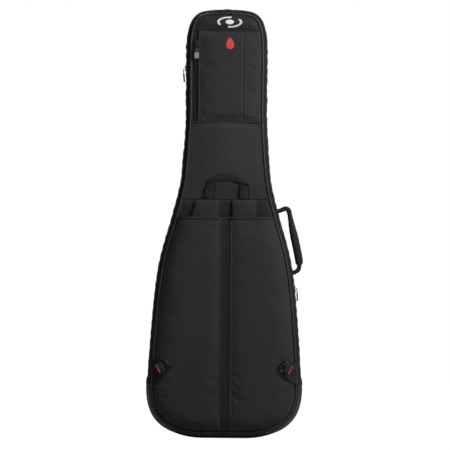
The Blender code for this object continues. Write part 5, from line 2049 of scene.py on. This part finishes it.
def floor_material():
    """Matt grey to the light, nearly plain white to the camera."""
    material = bpy.data.materials.new("studio_floor")
    material.use_nodes = True
    nodes, links = material.node_tree.nodes, material.node_tree.links
    matt = nodes["Principled BSDF"]
    matt.inputs["Base Color"].default_value = (0.42, 0.42, 0.42, 1)
    matt.inputs["Roughness"].default_value = 0.9
    glow = nodes.new("ShaderNodeEmission")
    glow.inputs["Color"].default_value = (1, 1, 1, 1)
    glow.inputs["Strength"].default_value = 1.035
    light_path = nodes.new("ShaderNodeLightPath")
    mix = nodes.new("ShaderNodeMixShader")
    share = nodes.new("ShaderNodeMath")
    share.operation = "MULTIPLY"
    share.inputs[1].default_value = 0.965
    links.new(light_path.outputs["Is Camera Ray"], share.inputs[0])
    links.new(share.outputs[0], mix.inputs[0])
    links.new(matt.outputs[0], mix.inputs[1])
    links.new(glow.outputs[0], mix.inputs[2])
    links.new(mix.outputs[0], nodes["Material Output"].inputs[0])
    return material


def studio_floor():
    bm = bmesh.new()
    bmesh.ops.create_grid(bm, x_segments=2, y_segments=2, size=6.0)
    mesh = bpy.data.meshes.new("studio_floor")
    bm.to_mesh(mesh)
    bm.free()
    mesh.materials.append(floor_material())
    link(bpy.data.objects.new("studio_floor", mesh))


def studio_world():
    world = bpy.data.worlds.new("studio")
    world.use_nodes = True
    nodes, links = world.node_tree.nodes, world.node_tree.links
    background = nodes["Background"]
    background.inputs["Color"].default_value = (1, 1, 1, 1)
    light_path = nodes.new("ShaderNodeLightPath")
    mix = nodes.new("ShaderNodeMix")
    mix.data_type = "FLOAT"
    mix.inputs[2].default_value = AMBIENT
    mix.inputs[3].default_value = 1.0
    links.new(light_path.outputs["Is Camera Ray"], mix.inputs[0])
    links.new(mix.outputs[0], background.inputs["Strength"])
    scene.world = world
    scene.view_settings.view_transform = "Standard"
    scene.view_settings.look = "None"
    scene.view_settings.exposure = 0.0
    scene.view_settings.gamma = 1.0


def aim(place, target):
    return (Vector(target) - Vector(place)).to_track_quat("-Z", "Y")


# name, place, target, size, power (W)
LIGHTS = [
    ("key_light", (1.26, -0.98, 1.34), (0.0, 0, 0.66), 0.75, 27.5),
    ("top_light", (0.72, -1.25, 2.1), (0.0, 0, 0.75), 0.9, 13),
    ("spark_light", (-1.0, -1.5, 1.25), (0.0, 0, 0.4), 0.1, 1.5),
    ("back_key", (-0.55, 3.1, 1.9), (0, 0, 0.5), 1.3, 82),
    ("back_fill", (0.7, 3.1, 0.9), (0, 0, 0.5), 1.1, 44)]
CAMERA_TARGET = Vector((-0.0012, 0.0, 0.527))
CAMERA_DISTANCE = 8.0
CAMERA_ROLL = 0.48  # degrees


def lights():
    for name, place, target, size, power in LIGHTS:
        light = bpy.data.lights.new(name, "AREA")
        light.energy = power
        light.size = size
        obj = link(bpy.data.objects.new(name, light))
        obj.location = place
        obj.rotation_euler = aim(place, target).to_euler()


def camera():
    """Long lens, square on to the rear."""
    lens = bpy.data.cameras.new("camera")
    lens.lens = 258.1
    lens.sensor_width = 36
    obj = link(bpy.data.objects.new("camera", lens))
    obj.location = CAMERA_TARGET + Vector((0, -CAMERA_DISTANCE, 0.0))
    obj.rotation_mode = "QUATERNION"
    roll = Quaternion((0, 0, 1), math.radians(CAMERA_ROLL))
    obj.rotation_quaternion = aim(obj.location, CAMERA_TARGET) @ roll
    scene.camera = obj


studio_floor()
studio_world()
lights()
camera()
